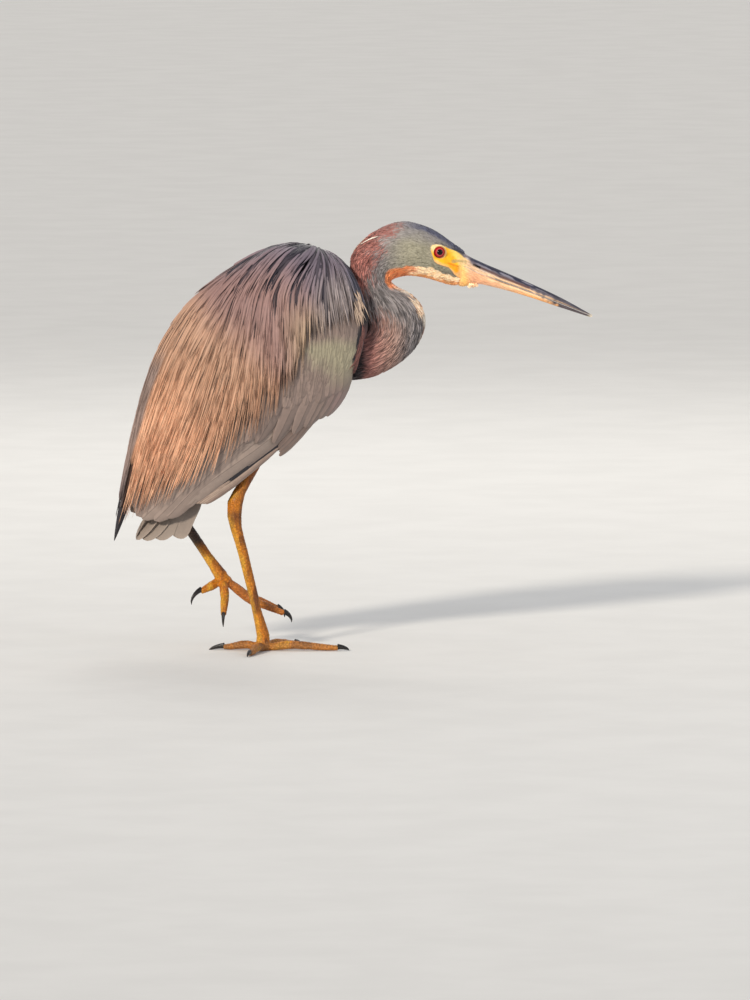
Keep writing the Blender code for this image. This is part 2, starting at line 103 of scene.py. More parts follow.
BILL_TOP_WIDTH = 6.6
EYE_RADIUS = 5.0
EYE_CENTRE = (119.3, 8.2, 270.8)
TAIL_ROOT, TAIL_TIP = (-52.5, 124.0), (-87.0, 76.5)
TAIL_DROP = 17.5
WING_INSET = 4.3
RIGHT_LEG = {"ankle": (-22.8, -10, 99.7), "foot": (0, 0, 10.5)}
LEFT_LEG = {"ankle": (-78, 13.6, 125), "foot": (-27, 16, 50.4)}
TOES = ("hind", "inner", "middle", "outer")
LEG_PARTS = ["thigh_{}", "shank_{}", "tarsus_{}", "foot_{}"] + ["toe_{}_" + toe for toe in TOES]
LEG_NODES = [part.format(side) for side in ("right", "left") for part in LEG_PARTS]

# ---------------------------------------------------------------- lines of the coat and the face

# The lower edge of the back plumes over the wing, from the breast to the tail
PLUME_EDGE = [
    (90, 250), (54, 218), (27, 208), (20, 188), (0, 160),
    (-21, 140), (-49, 117), (-74, 102), (-92, 94), (-120, 80),
]
# The bare skin of the face, and the grooves in face and bill
BARE_FACE = [
    (113.4, 272.2), (113.6, 274.6), (114.7, 276.0), (117.2, 276.4), (120.7, 276.1), (123.5, 274.8),
    (126.3, 273.4), (129.2, 272.4), (132.7, 271.2), (135.6, 270.0), (139.0, 269.0), (150.0, 268.0),
    (150.0, 249.0), (138.6, 250.6), (136.4, 251.8), (132.9, 253.1), (130.1, 255.2), (128.2, 258.1),
    (126.3, 259.9), (124.2, 260.7), (120.7, 261.8), (117.9, 262.9), (116.1, 264.3), (115.4, 266.0),
    (115.0, 267.7), (114.1, 270.1),
]
GAPE = [(125.8, 263.2), (129.1, 261.9), (132.7, 260.9), (137.2, 260.2)]
NOSTRIL = [(143.7, 261.6), (148.2, 259.7)]
FURROW = [(148.2, 259.7), (155.1, 256.7), (162.0, 253.3), (182.0, 245.6)]
LOWER_FURROW = [(140, 256.2), (160, 248.3), (190, 238.0)]
# The purple of the nape; its front edge is the part between the first and the last two points
PURPLE_NAPE = [
    (100, 300), (93, 291), (89, 286), (85, 282), (80, 276), (76, 270),
    (74, 264), (72, 258), (71, 250), (68, 240), (40, 236), (40, 300),
]
# The two white feathers of last year's crest, each with its half width
CREST = [
    ([(78.0, 281.6), (72.2, 279.6), (66.0, 275.6)], 0.62),
    ([(71.5, 281.4), (64.8, 277.0), (59.6, 271.6)], 0.42),
]
# Guide lines of the wing's feathers, from the front of the wing to its back
COVERTS = [
    [(52.0, 203.8), (52.6, 186.2), (47.8, 172.2), (40.2, 161.4)],
    [(44.0, 207.6), (44.8, 184.5), (39.8, 170.8), (31.4, 158.0)],
    [(36.3, 211.3), (37.8, 181.3), (33.6, 168.8), (25.5, 152.0)],
    [(25.2, 211.5), (27.7, 183.2), (23.7, 166.5), (14.3, 145.6)],
    [(12.7, 208.4), (14.5, 179.2), (9.0, 163.6), (-0.7, 142.7)],
    [(0.4, 199.8), (0.9, 174.2), (-5.6, 159.1), (-16.3, 141.7)],
    [(-11.2, 194.0), (-13.0, 168.9), (-19.0, 155.0), (-28.2, 140.0)],
]
SECONDARIES = [
    [(7.6, 151.4), (-11.6, 136.9), (-34.4, 121.4), (-57.0, 103.2)],
    [(-2.2, 153.6), (-23.4, 137.0), (-42.4, 119.4), (-62.4, 97.6)],
    [(-6.5, 154.5), (-29.4, 133.0), (-47.9, 115.1), (-68.5, 92.6)],
    [(-14.0, 156.9), (-37.2, 132.9), (-55.2, 113.6), (-76.5, 90.6)],
    [(-21.0, 167.5), (-44.3, 140.1), (-61.9, 115.8), (-84.4, 91.7)],
    [(-27.9, 177.7), (-51.3, 146.8), (-68.7, 119.3), (-88.0, 93.8)],
    [(-33.3, 184.7), (-57.3, 157.1), (-74.0, 129.2), (-89.6, 99.0)],
]
PRIMARIES = [
    [(25.0, 153.5), (10.7, 143.3), (-20.2, 119.8), (-54.0, 97.5)],
    [(22.0, 156.0), (6.0, 146.0), (-22.0, 124.0), (-56.0, 101.0)],
]
PALE_BAND = [
    [(10.0, 140.6), (-13.0, 121.6), (-29.0, 109.8), (-49.0, 97.0)],
    [(8.0, 142.0), (-17.0, 123.6), (-32.0, 114.4), (-52.0, 102.0)],
]
BROWN_GROUP = [
    [(32.0, 159.0), (25.5, 150.5), (17.0, 140.5), (8.6, 133.7)],
    [(26.0, 159.0), (19.0, 150.5), (11.5, 142.5), (4.5, 136.5)],
]
FILLING = [
    [(24.0, 164.0), (12.0, 150.5), (-4.0, 138.0), (-20.0, 127.0)],
    [(10.0, 172.0), (-1.0, 157.0), (-15.0, 144.0), (-30.0, 133.0)],
]
LEFT_WING_TIP = [(-86.0, 132.0), (-90.8, 114.0), (-96.0, 96.0), (-101.6, 75.6)]

# Rings across a feather, as shares of its half width and of its thickness, and the painted light and
# shade on each point of a ring: lit ridges and edges, painted shade on the far edges and undersides;
# the bright edges are partly the vanes' own pale rims
STRAND = [(-1, 0), (0, 1), (1, 0), (0, -1)]
VANE = [
    (-1, 0), (-0.86, 0.5), (-0.45, 0.8), (-0.07, 1), (0, 1.5), (0.07, 1),
    (0.45, 0.8), (0.86, 0.5), (1, 0), (0.5, -0.6), (0, -0.5), (-0.5, -0.6),
]
MIRRORED = [8, 7, 6, 5, 4, 3, 2, 1, 0, 11, 10, 9]
STRAND_SHADE = [0.72, 1.1, 0.72, 0.6]
VANE_SHADE = [1.22, 1.06, 1.02, 0.99, 0.9, 0.98, 0.92, 0.8, 0.62, 0.7, 0.7, 0.7]
SOFT_RIM_SHADE = [1.22, 1.02, 0.94, 0.95, 0.85, 0.97, 1.0, 1.06, 1.22, 0.8, 0.8, 0.8]
THIN_RIM_SHADE = [1.3, 1.08, 1.03, 0.99, 0.92, 0.98, 0.94, 0.84, 0.72, 0.7, 0.7, 0.7]
SOFT_VANE_SHADE = [1.05, 1.02, 1.0, 1.0, 0.96, 1.0, 0.98, 0.95, 0.92, 0.8, 0.8, 0.8]


# ---------------------------------------------------------------- small tools


def smooth(x, low, high):
    """0 at low and 1 at high, with an even change between them."""
    x = np.clip((np.asarray(x, float) - low) / (high - low), 0, 1)
    return x * x * (3 - 2 * x)


def colour(*srgb):
    """Linear colour from the usual 0 to 255 values."""
    c = np.array(srgb, float) / 255
    return np.where(c <= 0.04045, c / 12.92, ((c + 0.055) / 1.055) ** 2.4)


def mix(a, b, share):
    share = np.clip(np.asarray(share, float), 0, 1)[..., None]
    return a * (1 - share) + b * share


def unit(v):
    return v / np.maximum(np.linalg.norm(v, axis=-1, keepdims=True), 1e-9)


def wobble(p, size, seed=0):
    """Smooth noise from -1 to 1 at points p, with patches about `size` wide."""
    rng = np.random.default_rng(seed)
    total = 0.0
    for _ in range(6):
        way = unit(rng.normal(size=3)) * (0.7 + 0.8 * rng.random()) * 2.2 / size
        total = total + np.sin(p @ way + rng.random() * 7)
    return total / 3.2


def inside(polygon, x, z):
    """Whether points lie in a polygon."""
    odd = np.zeros(np.shape(x), bool)
    for (x0, z0), (x1, z1) in zip(polygon, polygon[1:] + polygon[:1]):
        crosses = (z0 > z) != (z1 > z)
        odd ^= crosses & (x < (x1 - x0) * (z - z0) / ((z1 - z0) or 1e-9) + x0)
    return odd


def to_line(points, x, z):
    """Distance to a broken line."""
    best = np.full(np.shape(x), 1e9)
    for (x0, z0), (x1, z1) in zip(points, points[1:]):
        dx, dz = x1 - x0, z1 - z0
        s = np.clip(((x - x0) * dx + (z - z0) * dz) / (dx * dx + dz * dz), 0, 1)
        best = np.minimum(best, np.hypot(x - x0 - s * dx, z - z0 - s * dz))
    return best


def to_edge(polygon, line, x, z):
    """Distance to a line on a polygon's outline, less than 0 outside the polygon."""
    far = to_line(line, x, z)
    return np.where(inside(polygon, x, z), far, -far)


def blend_rows(table, slopes, knots, t):
    """A smooth curve through the rows of a table, at places t among its knots."""
    i = np.clip(np.searchsorted(knots, t, side="right") - 1, 0, len(knots) - 2)
    span = (knots[i + 1] - knots[i])[..., None]
    x = (t - knots[i])[..., None] / span
    start = (2 * x**3 - 3 * x**2 + 1) * table[i] + (x**3 - 2 * x**2 + x) * span * slopes[i]
    end = (3 * x**2 - 2 * x**3) * table[i + 1] + (x**3 - x**2) * span * slopes[i + 1]
    return start + end


def curve(points, s):
    """A smooth curve through evenly spaced points, at shares s of its way."""
    points = np.asarray(points, float)
    knots = np.linspace(0, 1, len(points))
    return blend_rows(points, np.gradient(points, knots, axis=0), knots, s)


class Form:
    """A form lofted through named cross-sections, as in the solids."""

    def __init__(self, rows):
        self.table = np.array(list(rows.values()) if isinstance(rows, dict) else rows, float)
        steps = np.linalg.norm(np.diff(self.table[:, :4], axis=0), axis=1)
        self.length = steps.sum()
        self.knots = np.concatenate([[0.0], np.cumsum(steps)]) / self.length
        self.slopes = np.gradient(self.table, self.knots, axis=0)
        self.knot = dict(zip(rows, self.knots)) if isinstance(rows, dict) else {}

    def section(self, t):
        """The section at t: middle and half of its depth as vectors in x and z, and the rest."""
        row = blend_rows(self.table, self.slopes, self.knots, np.clip(np.asarray(t, float), 0, 1))
        back, front = row[..., 0:2], row[..., 2:4]
        return (back + front) / 2, (back - front) / 2, row[..., 4:]

    def reach(self, rest, c, s):
        """How far the section's outline is from its middle, at an angle's cosine and sine."""
        power = rest[..., 2] if rest.shape[-1] > 1 else ROUNDNESS
        return (np.abs(c) ** power + np.abs(s) ** power) ** (-1 / power)

    def point(self, t, angle, inset=0.0):
        """The surface at t along the form. Angle 0 is the back, a quarter turn its right side."""
        middle, deep, rest = self.section(t)
        half = np.hypot(deep[..., 0], deep[..., 1])
        c, s = np.cos(angle), np.sin(angle)
        reach = self.reach(rest, c, s)
        across = np.where(s > 0, rest[..., 0], rest[..., 1 if rest.shape[-1] > 1 else 0])
        depth = np.maximum(half - inset, 0.4) * reach * c
        width = np.maximum(across - inset, 0.4) * reach * s
        place = middle + deep * (depth / half)[..., None]
        return np.stack([place[..., 0], -width, place[..., 1]], -1)

    def rates(self, t, angle, inset=0.0):
        """How the point moves with t and with the angle, and the outward normal."""
        step_t, step_angle = 0.004, 0.012
        late, early = np.minimum(t + step_t, 1), np.maximum(t - step_t, 0)
        along = (self.point(late, angle, inset) - self.point(early, angle, inset)) / (late - early)[..., None]
        ahead, behind = self.point(t, angle + step_angle, inset), self.point(t, angle - step_angle, inset)
        around = (ahead - behind) / (2 * step_angle)
        normal = unit(np.cross(along, around))
        middle, _, _ = self.section(t)
        middle = np.stack([middle[..., 0], 0 * t, middle[..., 1]], -1)
        out = np.sum(normal * (self.point(t, angle, inset) - middle), -1, keepdims=True)
        return along, around, normal * np.where(out < 0, -1, 1)

    def depths(self, t, angle):
        """Distances in the section from its back and from its front edge."""
        _, deep, rest = self.section(t)
        half = np.hypot(deep[..., 0], deep[..., 1])
        share = self.reach(rest, np.cos(angle), np.sin(angle)) * np.cos(angle)
        return half * (1 - share), half * (1 + share)


def steps_for(along, around, way):
    """The changes of t and angle that move a point one millimetre along `way`."""
    tt, ta, aa = (np.sum(a * b, -1) for a, b in ((along, along), (along, around), (around, around)))
    td, ad = np.sum(along * way, -1), np.sum(around * way, -1)
    det = np.maximum(tt * aa - ta * ta, 1e-6)
    return (td * aa - ad * ta) / det, (ad * tt - td * ta) / det


def lay(form, t, angle, length, stations, heading, inset, turn=0.0):
    """Feather centre lines that start at (t, angle) and follow heading(point, t, angle) on a form.
    Returns t, angle and the sideways steps at each station, as (feathers, stations)."""
    t, angle = np.array(t, float), np.array(angle, float)
    turn = np.broadcast_to(turn, t.shape)[..., None]
    rows = []
    for s, after in zip(stations, [*stations[1:], None]):
        along, around, normal = form.rates(t, angle, inset)
        way = heading(form.point(t, angle, inset), t, angle)
        way = unit(way - normal * np.sum(way * normal, -1, keepdims=True))
        way = way * np.cos(turn) + np.cross(normal, way) * np.sin(turn)
        rows.append((t, angle, *steps_for(along, around, np.cross(normal, way))))
        if after is not None:
            step_t, step_angle = steps_for(along, around, way)
            step = length * (after - s)
            t = np.clip(t + step_t * step, 0.0, 1.0)
            angle = angle + step_angle * step
    return tuple(np.stack(a, 1) for a in zip(*rows))


def find(form, x, z, inset, side=RIGHT):
    """The places (t, angle) of points seen from one side of a form."""
    ts, angles = np.meshgrid(np.linspace(0, 1, 500), np.radians(np.linspace(0, 170, 400)), indexing="ij")
    p = form.point(ts, angles, inset)
    ts, angles, xs, zs = ts.ravel(), angles.ravel(), p[..., 0].ravel(), p[..., 2].ravel()
    best = [np.argmin((xs - a) ** 2 + (zs - b) ** 2) for a, b in zip(x.ravel(), z.ravel())]
    return ts[best].reshape(x.shape), side * angles[best].reshape(x.shape)


def guided(lines, u, first, last, stations):
    """Lines between guide lines: u runs from the first guide to the last, and first and last give
    the part of the way along them that each line takes. Returns x and z, as (lines, stations)."""
    along = np.linspace(0, 1, 41)
    net = np.array([curve(line, along) for line in lines])
    between = np.linspace(0, 1, len(lines))
    xs, zs = [], []
    for share, a, b in zip(u, first, last):
        here = [[np.interp(share, between, net[:, k, c]) for k in range(len(along))] for c in (0, 1)]
        place = a + (b - a) * stations
        xs.append(np.interp(place, along, here[0]))
        zs.append(np.interp(place, along, here[1]))
    return np.array(xs), np.array(zs)


def shape_pointed(s, widest=0.35):
    return np.where(s < widest, (s / widest) ** 0.6, (np.maximum(1 - s, 0) / (1 - widest)) ** 0.75)


def shape_round(s, start=0.2, end=0.8):
    tip = np.maximum(0, 1 - (np.maximum(0, s - end) / (1 - end)) ** 2)
    return np.minimum(1, (s / start) ** 0.5) * np.sqrt(tip)


def held(tone, stations):
    """One tone for each feather, the same at all its stations."""
    return np.repeat(tone[:, None], len(stations), 1)


# ---------------------------------------------------------------- meshes


def on_map(t, angle):
    """A place on the map OFBake for a place on a form."""
    return np.stack([t * 0.9 + 0.05, (angle / FULL_TURN) % 1.0 * 0.9 + 0.05], -1)


def grid_steps(rows, columns):
    """The row and the column of each cell of a grid."""
    return (a.ravel() for a in np.meshgrid(np.arange(rows), np.arange(columns), indexing="ij"))


def bands(rings, around, closed=False):
    """Quads between neighbouring rings of points; closed also joins the last ring to the first."""
    i, j = grid_steps(rings if closed else rings - 1, around)
    k, after = (j + 1) % around, (i + 1) % rings
    return np.stack([i * around + j, i * around + k, after * around + k, after * around + j], -1)


def loft(points):
    """Faces round a grid of ring points, closed at both ends with fans: (points, quads, tris)."""
    rings, around, _ = points.shape
    flat = points.reshape(-1, 3)
    a = np.arange(around)
    b = (a + 1) % around
    base = (rings - 1) * around
    first = np.stack([0 * a + len(flat), b, a], -1)
    last = np.stack([0 * a + len(flat) + 1, base + a, base + b], -1)
    ends = np.stack([points[0].mean(0), points[-1].mean(0)])
    return np.concatenate([flat, ends]), bands(rings, around), np.concatenate([first, last])


def read(items, key, width, kind=np.float32):
    """One property of all the items of a mesh, as rows of `width` values."""
    values = np.zeros(len(items) * width, kind)
    items.foreach_get(key, values)
    return values.reshape(-1, width)


def show(name, data):
    """A new object in the scene."""
    made = bpy.data.objects.new(name, data)
    bpy.context.scene.collection.objects.link(made)
    return made


def make_mesh(name, points, quads, tris, material, sharp):
    mesh = bpy.data.meshes.new(name)
    mesh.vertices.add(len(points))
    mesh.vertices.foreach_set("co", (points * MM).astype(np.float32).ravel())
    loops = np.concatenate([quads.ravel(), tris.ravel()]).astype(np.int32)
    starts = np.concatenate([np.arange(len(quads)) * 4, len(quads) * 4 + np.arange(len(tris)) * 3])
    mesh.loops.add(len(loops))
    mesh.loops.foreach_set("vertex_index", loops)
    mesh.polygons.add(len(starts))
    mesh.polygons.foreach_set("loop_start", starts.astype(np.int32))
    mesh.update(calc_edges=True)
    mesh.validate()
    mesh.materials.append(material)
    mesh.shade_smooth()
    mesh.set_sharp_from_angle(angle=math.radians(sharp))
    return show(name, mesh)


def put_attribute(made, name, kind, values):
    key = {"FLOAT_COLOR": "color", "FLOAT_VECTOR": "vector", "FLOAT": "value"}[kind]
    layer = made.data.attributes.new(name, kind, "POINT")
    layer.data.foreach_set(key, values.astype(np.float32).ravel())


def put_tint(made, tint):
    put_attribute(made, "tint", "FLOAT_COLOR", np.concatenate([tint, np.ones((len(tint), 1))], 1))


def put_map(made, uvs):
    loops = read(made.data.loops, "vertex_index", 1, np.int32)[:, 0]
    layer = made.data.uv_layers.new(name="OFBake")
    layer.data.foreach_set("uv", uvs[loops].astype(np.float32).ravel())


def finish_piece(made, nodes=()):
    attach(made, ROOT)
    if nodes:
        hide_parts(*nodes)


class Coat:
    """Feathers and shells that become one mesh. Each feather is a closed body."""

    def __init__(self, name, slot, material, nodes=()):
        self.name, self.slot, self.material, self.nodes = name, slot, material, nodes
        self.parts = []
        self.count = 0

    def add(self, points, quads, tris, tint, vane, uv):
        """Points in millimetres, faces, colours, (along, across, share across) and map places."""
        quads, tris = quads.reshape(-1, 4) + self.count, tris.reshape(-1, 3) + self.count
        self.parts.append((points, np.broadcast_to(tint, points.shape), vane, uv, quads, tris))
        self.count += len(points)

    def strips(self, body, ends, ring, tint, shade, stations, length, half, uv):
        """Rings of points (feathers, rings, ring, 3) closed at two end points (feathers, 2, 3)."""
        n, rows, k, _ = body.shape
        per = rows * k + 2
        shade = np.ones(k) if shade is None else np.array(shade, float)
        body_tint = np.repeat(tint[:, 1:-1, None, :], k, 2) * shade[:, None]
        points = np.concatenate([ends[:, :1], body.reshape(n, -1, 3), ends[:, 1:]], 1).reshape(-1, 3)
        tints = np.concatenate([tint[:, :1], body_tint.reshape(n, -1, 3), tint[:, -1:]], 1).reshape(-1, 3)
        base = np.arange(n)[:, None, None] * per
        j = np.arange(k)
        last = 1 + (rows - 1) * k
        cap = np.stack([0 * j, 1 + (j + 1) % k, 1 + j], -1)
        tip = np.stack([0 * j + per - 1, last + j, last + (j + 1) % k], -1)
        quads, tris = base + 1 + bands(rows, k), base + np.concatenate([cap, tip])
        share = np.concatenate([[0], np.tile([p[0] for p in ring], rows), [0]])
        place = np.concatenate([[stations[0]], np.repeat(stations[1:-1], k), [stations[-1]]])
        width = np.pad(np.repeat(half[:, 1:-1], k, 1), ((0, 0), (1, 1)))
        vane = np.stack([place * length[:, None], share * width, np.broadcast_to(share, (n, per))], -1)
        patch = np.stack([share * 0.0015, (place - 0.5) * 0.003], -1)
        self.add(points, quads, tris, tints, vane.reshape(-1, 3), (uv[:, None] + patch).reshape(-1, 2))

    def on_form(
        self, form, laid, stations, length, half, thick, inset, ring, tint, shade=None, camber=0.0, roll=0.0
    ):
        """Feathers laid on a form. half, inset and tint are given at (feathers, stations), and
        shade is the painted light and shade across a feather, for each point of its ring."""
        t, angle, side_t, side_angle = (a[:, 1:-1, None] for a in laid)
        t_ends, angle_ends = laid[0][:, [0, -1]], laid[1][:, [0, -1]]
        x, h = np.array(ring, float).T
        n = len(t)
        over = half[:, 1:-1, None] * x
        lift = inset[:, 1:-1, None] - thick * h - camber * (1 - x * x)
        lift = lift + np.broadcast_to(roll, (n,))[:, None, None] * x
        body = form.point(t + over * side_t, angle + over * side_angle, lift)
        ends = form.point(t_ends, angle_ends, inset[:, [0, -1]])
        uv = on_map(t_ends[:, 0], angle_ends[:, 0])
        self.strips(body, ends, ring, tint, shade, stations, np.broadcast_to(length, (n,)), half, uv)

    def free(
        self, points, sides, normals, stations, length, half, thick, ring, tint, uv, shade=None, camber=0.0
    ):
        """Feathers along given lines: points, sides and normals at (feathers, stations, 3)."""
        x, h = np.array(ring, float).T[..., None]
        wide = half[:, 1:-1, None, None]
        body = points[:, 1:-1, None] + sides[:, 1:-1, None] * wide * x
        body = body + normals[:, 1:-1, None] * (thick * h + camber * wide * (1 - x * x))
        self.strips(body, points[:, [0, -1]], ring, tint, shade, stations, length, half, uv)

    def plate(self, form, t, angle, outer, inner, tint):
        """A thin closed shell on a form, from grids of t and angle."""
        rows, columns = t.shape
        top, under = form.point(t, angle, outer), form.point(t, angle, inner)
        points = np.concatenate([top.reshape(-1, 3), under.reshape(-1, 3)])
        i, j = grid_steps(rows - 1, columns - 1)
        a = i * columns + j
        upper = np.stack([a, a + 1, a + columns + 1, a + columns], -1)
        lower = upper[:, ::-1] + rows * columns
        index = np.arange(rows * columns).reshape(rows, columns)
        around = np.concatenate([index[0], index[1:, -1], index[-1, -2::-1], index[-2:0:-1, 0]])
        after = np.roll(around, -1)
        side = np.stack([after, around, around + rows * columns, after + rows * columns], -1)
        tints = np.tile(np.broadcast_to(tint, (rows, columns, 3)).reshape(-1, 3), (2, 1))
        uv = np.tile(on_map(t, angle).reshape(-1, 2), (2, 1))
        empty = np.zeros((0, 3), int)
        self.add(points, np.concatenate([upper, lower, side]), empty, tints, np.zeros(points.shape), uv)

    def build(self):
        points, tints, vanes, uvs, quads, tris = (np.concatenate(part) for part in zip(*self.parts))
        made = make_mesh(self.name, points, quads, tris, self.material, 55)
        put_tint(made, tints)
        put_attribute(made, "vane", "FLOAT_VECTOR", vanes)
        put_map(made, uvs)
        finish_piece(made, self.nodes)


def way_length(points):
    """The length of each line of points (lines, stations, 3)."""
    return np.linalg.norm(np.diff(points, axis=1), axis=-1).sum(1)


# ---------------------------------------------------------------- materials


class Nodes:
    """A material's node tree, built up in short calls."""

    def __init__(self, name, roughness=0.6, sheen=0.0, coat=0.0, specular=0.5):
        self.material = bpy.data.materials.new(name)
        self.material.use_nodes = True
        self.tree = self.material.node_tree
        self.shader = self.tree.nodes["Principled BSDF"]
        self.shader.inputs["Roughness"].default_value = roughness
        self.shader.inputs["Sheen Weight"].default_value = sheen
        self.shader.inputs["Coat Weight"].default_value = coat
        self.shader.inputs["Specular IOR Level"].default_value = specular

    def new(self, kind, **settings):
        node = self.tree.nodes.new("ShaderNode" + kind)
        for key, value in settings.items():
            setattr(node, key, value)
        return node

    def link(self, out, into):
        self.tree.links.new(out, into)

    def attribute(self, name, kind="Color"):
        return self.new("Attribute", attribute_name=name).outputs[kind]

    def parts(self, name):
        """The three numbers of a vector attribute."""
        split = self.new("SeparateXYZ")
        self.link(self.attribute(name, "Vector"), split.inputs[0])
        return split.outputs

    def math(self, operation, a, b=0.0, c=0.0):
        node = self.new("Math", operation=operation)
        for socket, value in zip(node.inputs, (a, b, c)):
            if isinstance(value, (int, float)):
                socket.default_value = value
            else:
                self.link(value, socket)
        return node.outputs[0]

    def times(self, a, b):
        return self.math("MULTIPLY", a, b)

    def times_plus(self, a, b, c):
        return self.math("MULTIPLY_ADD", a, b, c)

    def ramp(self, value, low, high, to_low=0.0, to_high=1.0):
        node = self.new("MapRange", interpolation_type="SMOOTHSTEP")
        self.link(value, node.inputs["Value"])
        for key, number in (("From Min", low), ("From Max", high), ("To Min", to_low), ("To Max", to_high)):
            node.inputs[key].default_value = number
        return node.outputs["Result"]

    def noise(self, scale, detail=3.0, vector=None, roughness=0.55):
        node = self.new("TexNoise")
        for key, number in (("Scale", scale), ("Detail", detail), ("Roughness", roughness)):
            node.inputs[key].default_value = number
        self.link(vector or self.place(), node.inputs["Vector"])
        return node.outputs["Fac"]

    def cells(self, scale):
        """Distance from the middle of the nearest of many small cells."""
        node = self.new("TexVoronoi")
        node.inputs["Scale"].default_value = scale
        self.link(self.place(), node.inputs["Vector"])
        return node.outputs["Distance"]

    def place(self):
        return self.new("TexCoord").outputs["Object"]

    def shaded(self, tint, factor):
        """A colour multiplied by a factor, as the base colour."""
        node = self.new("Mix", data_type="RGBA", blend_type="MULTIPLY")
        node.inputs["Factor"].default_value = 1.0
        self.link(tint, node.inputs["A"])
        join = self.new("CombineColor")
        for socket in join.inputs[:3]:
            self.link(factor, socket)
        self.link(join.outputs[0], node.inputs["B"])
        self.link(node.outputs["Result"], self.shader.inputs["Base Color"])

    def blended(self, a, b, factor):
        """Two colours mixed by a factor, as the base colour."""
        node = self.new("Mix", data_type="RGBA")
        node.inputs["A"].default_value = (*a, 1.0)
        node.inputs["B"].default_value = (*b, 1.0)
        self.link(factor, node.inputs["Factor"])
        self.link(node.outputs["Result"], self.shader.inputs["Base Color"])

    def rough(self, value, low, high, to_low, to_high):
        self.link(self.ramp(value, low, high, to_low, to_high), self.shader.inputs["Roughness"])

    def bump(self, height, strength, distance):
        node = self.new("Bump")
        node.inputs["Strength"].default_value = strength
        node.inputs["Distance"].default_value = distance * MM
        self.link(height, node.inputs["Height"])
        self.link(node.outputs["Normal"], self.shader.inputs["Normal"])
        return self.material


def feather_material(name, barb=0.55, contrast=0.2, shaft=0.25, roughness=0.62, sheen=0.15, mottling=0.06):
    """Barbs that leave the shaft at a slant, a shaft line and mottling, on the feather's own tint.
    `barb` is the spacing of the barbs in millimetres."""
    n = Nodes(name, roughness, sheen, specular=0.35)
    along, across, _ = n.parts("vane")
    away = n.math("ABSOLUTE", across)
    ragged = n.times_plus(n.noise(900, 2.0), 0.9, n.times_plus(away, -1.5, along))
    wave = n.math("SINE", n.times(ragged, 2 * math.pi / barb))
    fine = n.times_plus(wave, 0.5, 0.5)
    line = n.ramp(away, 0.12, 0.42, 1.0, 0.0)
    mottle = n.noise(260, 4.0)
    shade = n.times_plus(fine, contrast, 1 - contrast / 2)
    shade = n.times(shade, n.ramp(mottle, 0.3, 0.7, 1 - mottling, 1 + mottling))
    n.shaded(n.attribute("tint"), n.times_plus(line, -shaft, shade))
    n.rough(mottle, 0.25, 0.75, roughness - 0.08, roughness + 0.1)
    return n.bump(n.times_plus(line, 1.2, fine), 0.35, 0.12)


def skin_material():
    """Bare skin: the painted tint with fine pores, wrinkles and blotches."""
    n = Nodes("bare_skin", 0.45, specular=0.32)
    n.shader.inputs["Subsurface Weight"].default_value = 0.06
    n.shader.inputs["Subsurface Radius"].default_value = (0.002, 0.001, 0.0006)
    n.shader.inputs["Subsurface Scale"].default_value = 0.6
    blotch = n.noise(420, 5.0)
    pores = n.ramp(n.cells(1300), 0.05, 0.6)
    shade = n.times(n.ramp(blotch, 0.3, 0.7, 0.86, 1.12), n.ramp(pores, 0, 1, 0.9, 1.04))
    # Small round scales on the legs, with dark lines between them
    groove = n.times(n.ramp(n.cells(820), 0.25, 0.75), n.attribute("scaly", "Fac"))
    n.shaded(n.attribute("tint"), n.times(shade, n.ramp(groove, 0.0, 1.0, 1.05, 0.72)))
    n.rough(blotch, 0.3, 0.7, 0.34, 0.52)
    height = n.times_plus(blotch, 0.8, pores)
    return n.bump(n.times_plus(groove, -2.0, height), 0.6, 0.22)


def horn_material(name, roughness=0.34):
    """The bill's horn: painted tint with fine lengthwise growth lines and small chips."""
    n = Nodes(name, roughness, coat=0.12, specular=0.4)
    n.shader.inputs["Coat Roughness"].default_value = 0.22
    turn = n.new("Mapping", vector_type="TEXTURE")
    turn.inputs["Rotation"].default_value = (0, math.radians(25.3), 0)
    turn.inputs["Scale"].default_value = (14, 1, 1)
    n.link(n.place(), turn.inputs["Vector"])
    lines = n.noise(1500, 4.0, turn.outputs[0], 0.6)
    spots = n.noise(700, 3.0)
    shade = n.times(n.ramp(lines, 0.3, 0.7, 0.72, 1.26), n.ramp(spots, 0.35, 0.75, 0.95, 1.1))
    n.shaded(n.attribute("tint"), shade)
    n.rough(spots, 0.3, 0.7, roughness - 0.07, roughness + 0.12)
    return n.bump(lines, 0.3, 0.12)


def eye_material():
    """Red iris with a pale inner ring and radial threads round a black pupil."""
    n = Nodes("eye", 0.3, coat=0.6, specular=0.0)
    n.shader.inputs["Coat Roughness"].default_value = 0.05
    radius, turn, _ = n.parts("vane")
    join = n.new("CombineXYZ")
    n.link(n.times(radius, 0.8), join.inputs[0])
    n.link(n.times(turn, 60.0), join.inputs[1])
    threads = n.new("TexNoise")
    threads.inputs["Scale"].default_value = 1.0
    n.link(join.outputs[0], threads.inputs["Vector"])
    ramp = n.new("ValToRGB")
    stops = [
        (0.0, (2, 2, 3)), (0.475, (3, 2, 3)), (0.51, (120, 40, 40)), (0.6, (196, 84, 80)),
        (0.72, (164, 22, 30)), (0.88, (150, 14, 22)), (0.97, (70, 6, 12)), (1.0, (28, 4, 6)),
    ]
    while len(ramp.color_ramp.elements) < len(stops):
        ramp.color_ramp.elements.new(0.5)
    for element, (place, tone) in zip(ramp.color_ramp.elements, stops):
        element.position = place
        element.color = (*colour(*tone), 1.0)
    iris_radius = 3.85
    n.link(n.times(radius, 1 / iris_radius), ramp.inputs[0])
    n.shaded(ramp.outputs[0], n.ramp(threads.outputs["Fac"], 0.3, 0.7, 0.75, 1.25))
    return n.material


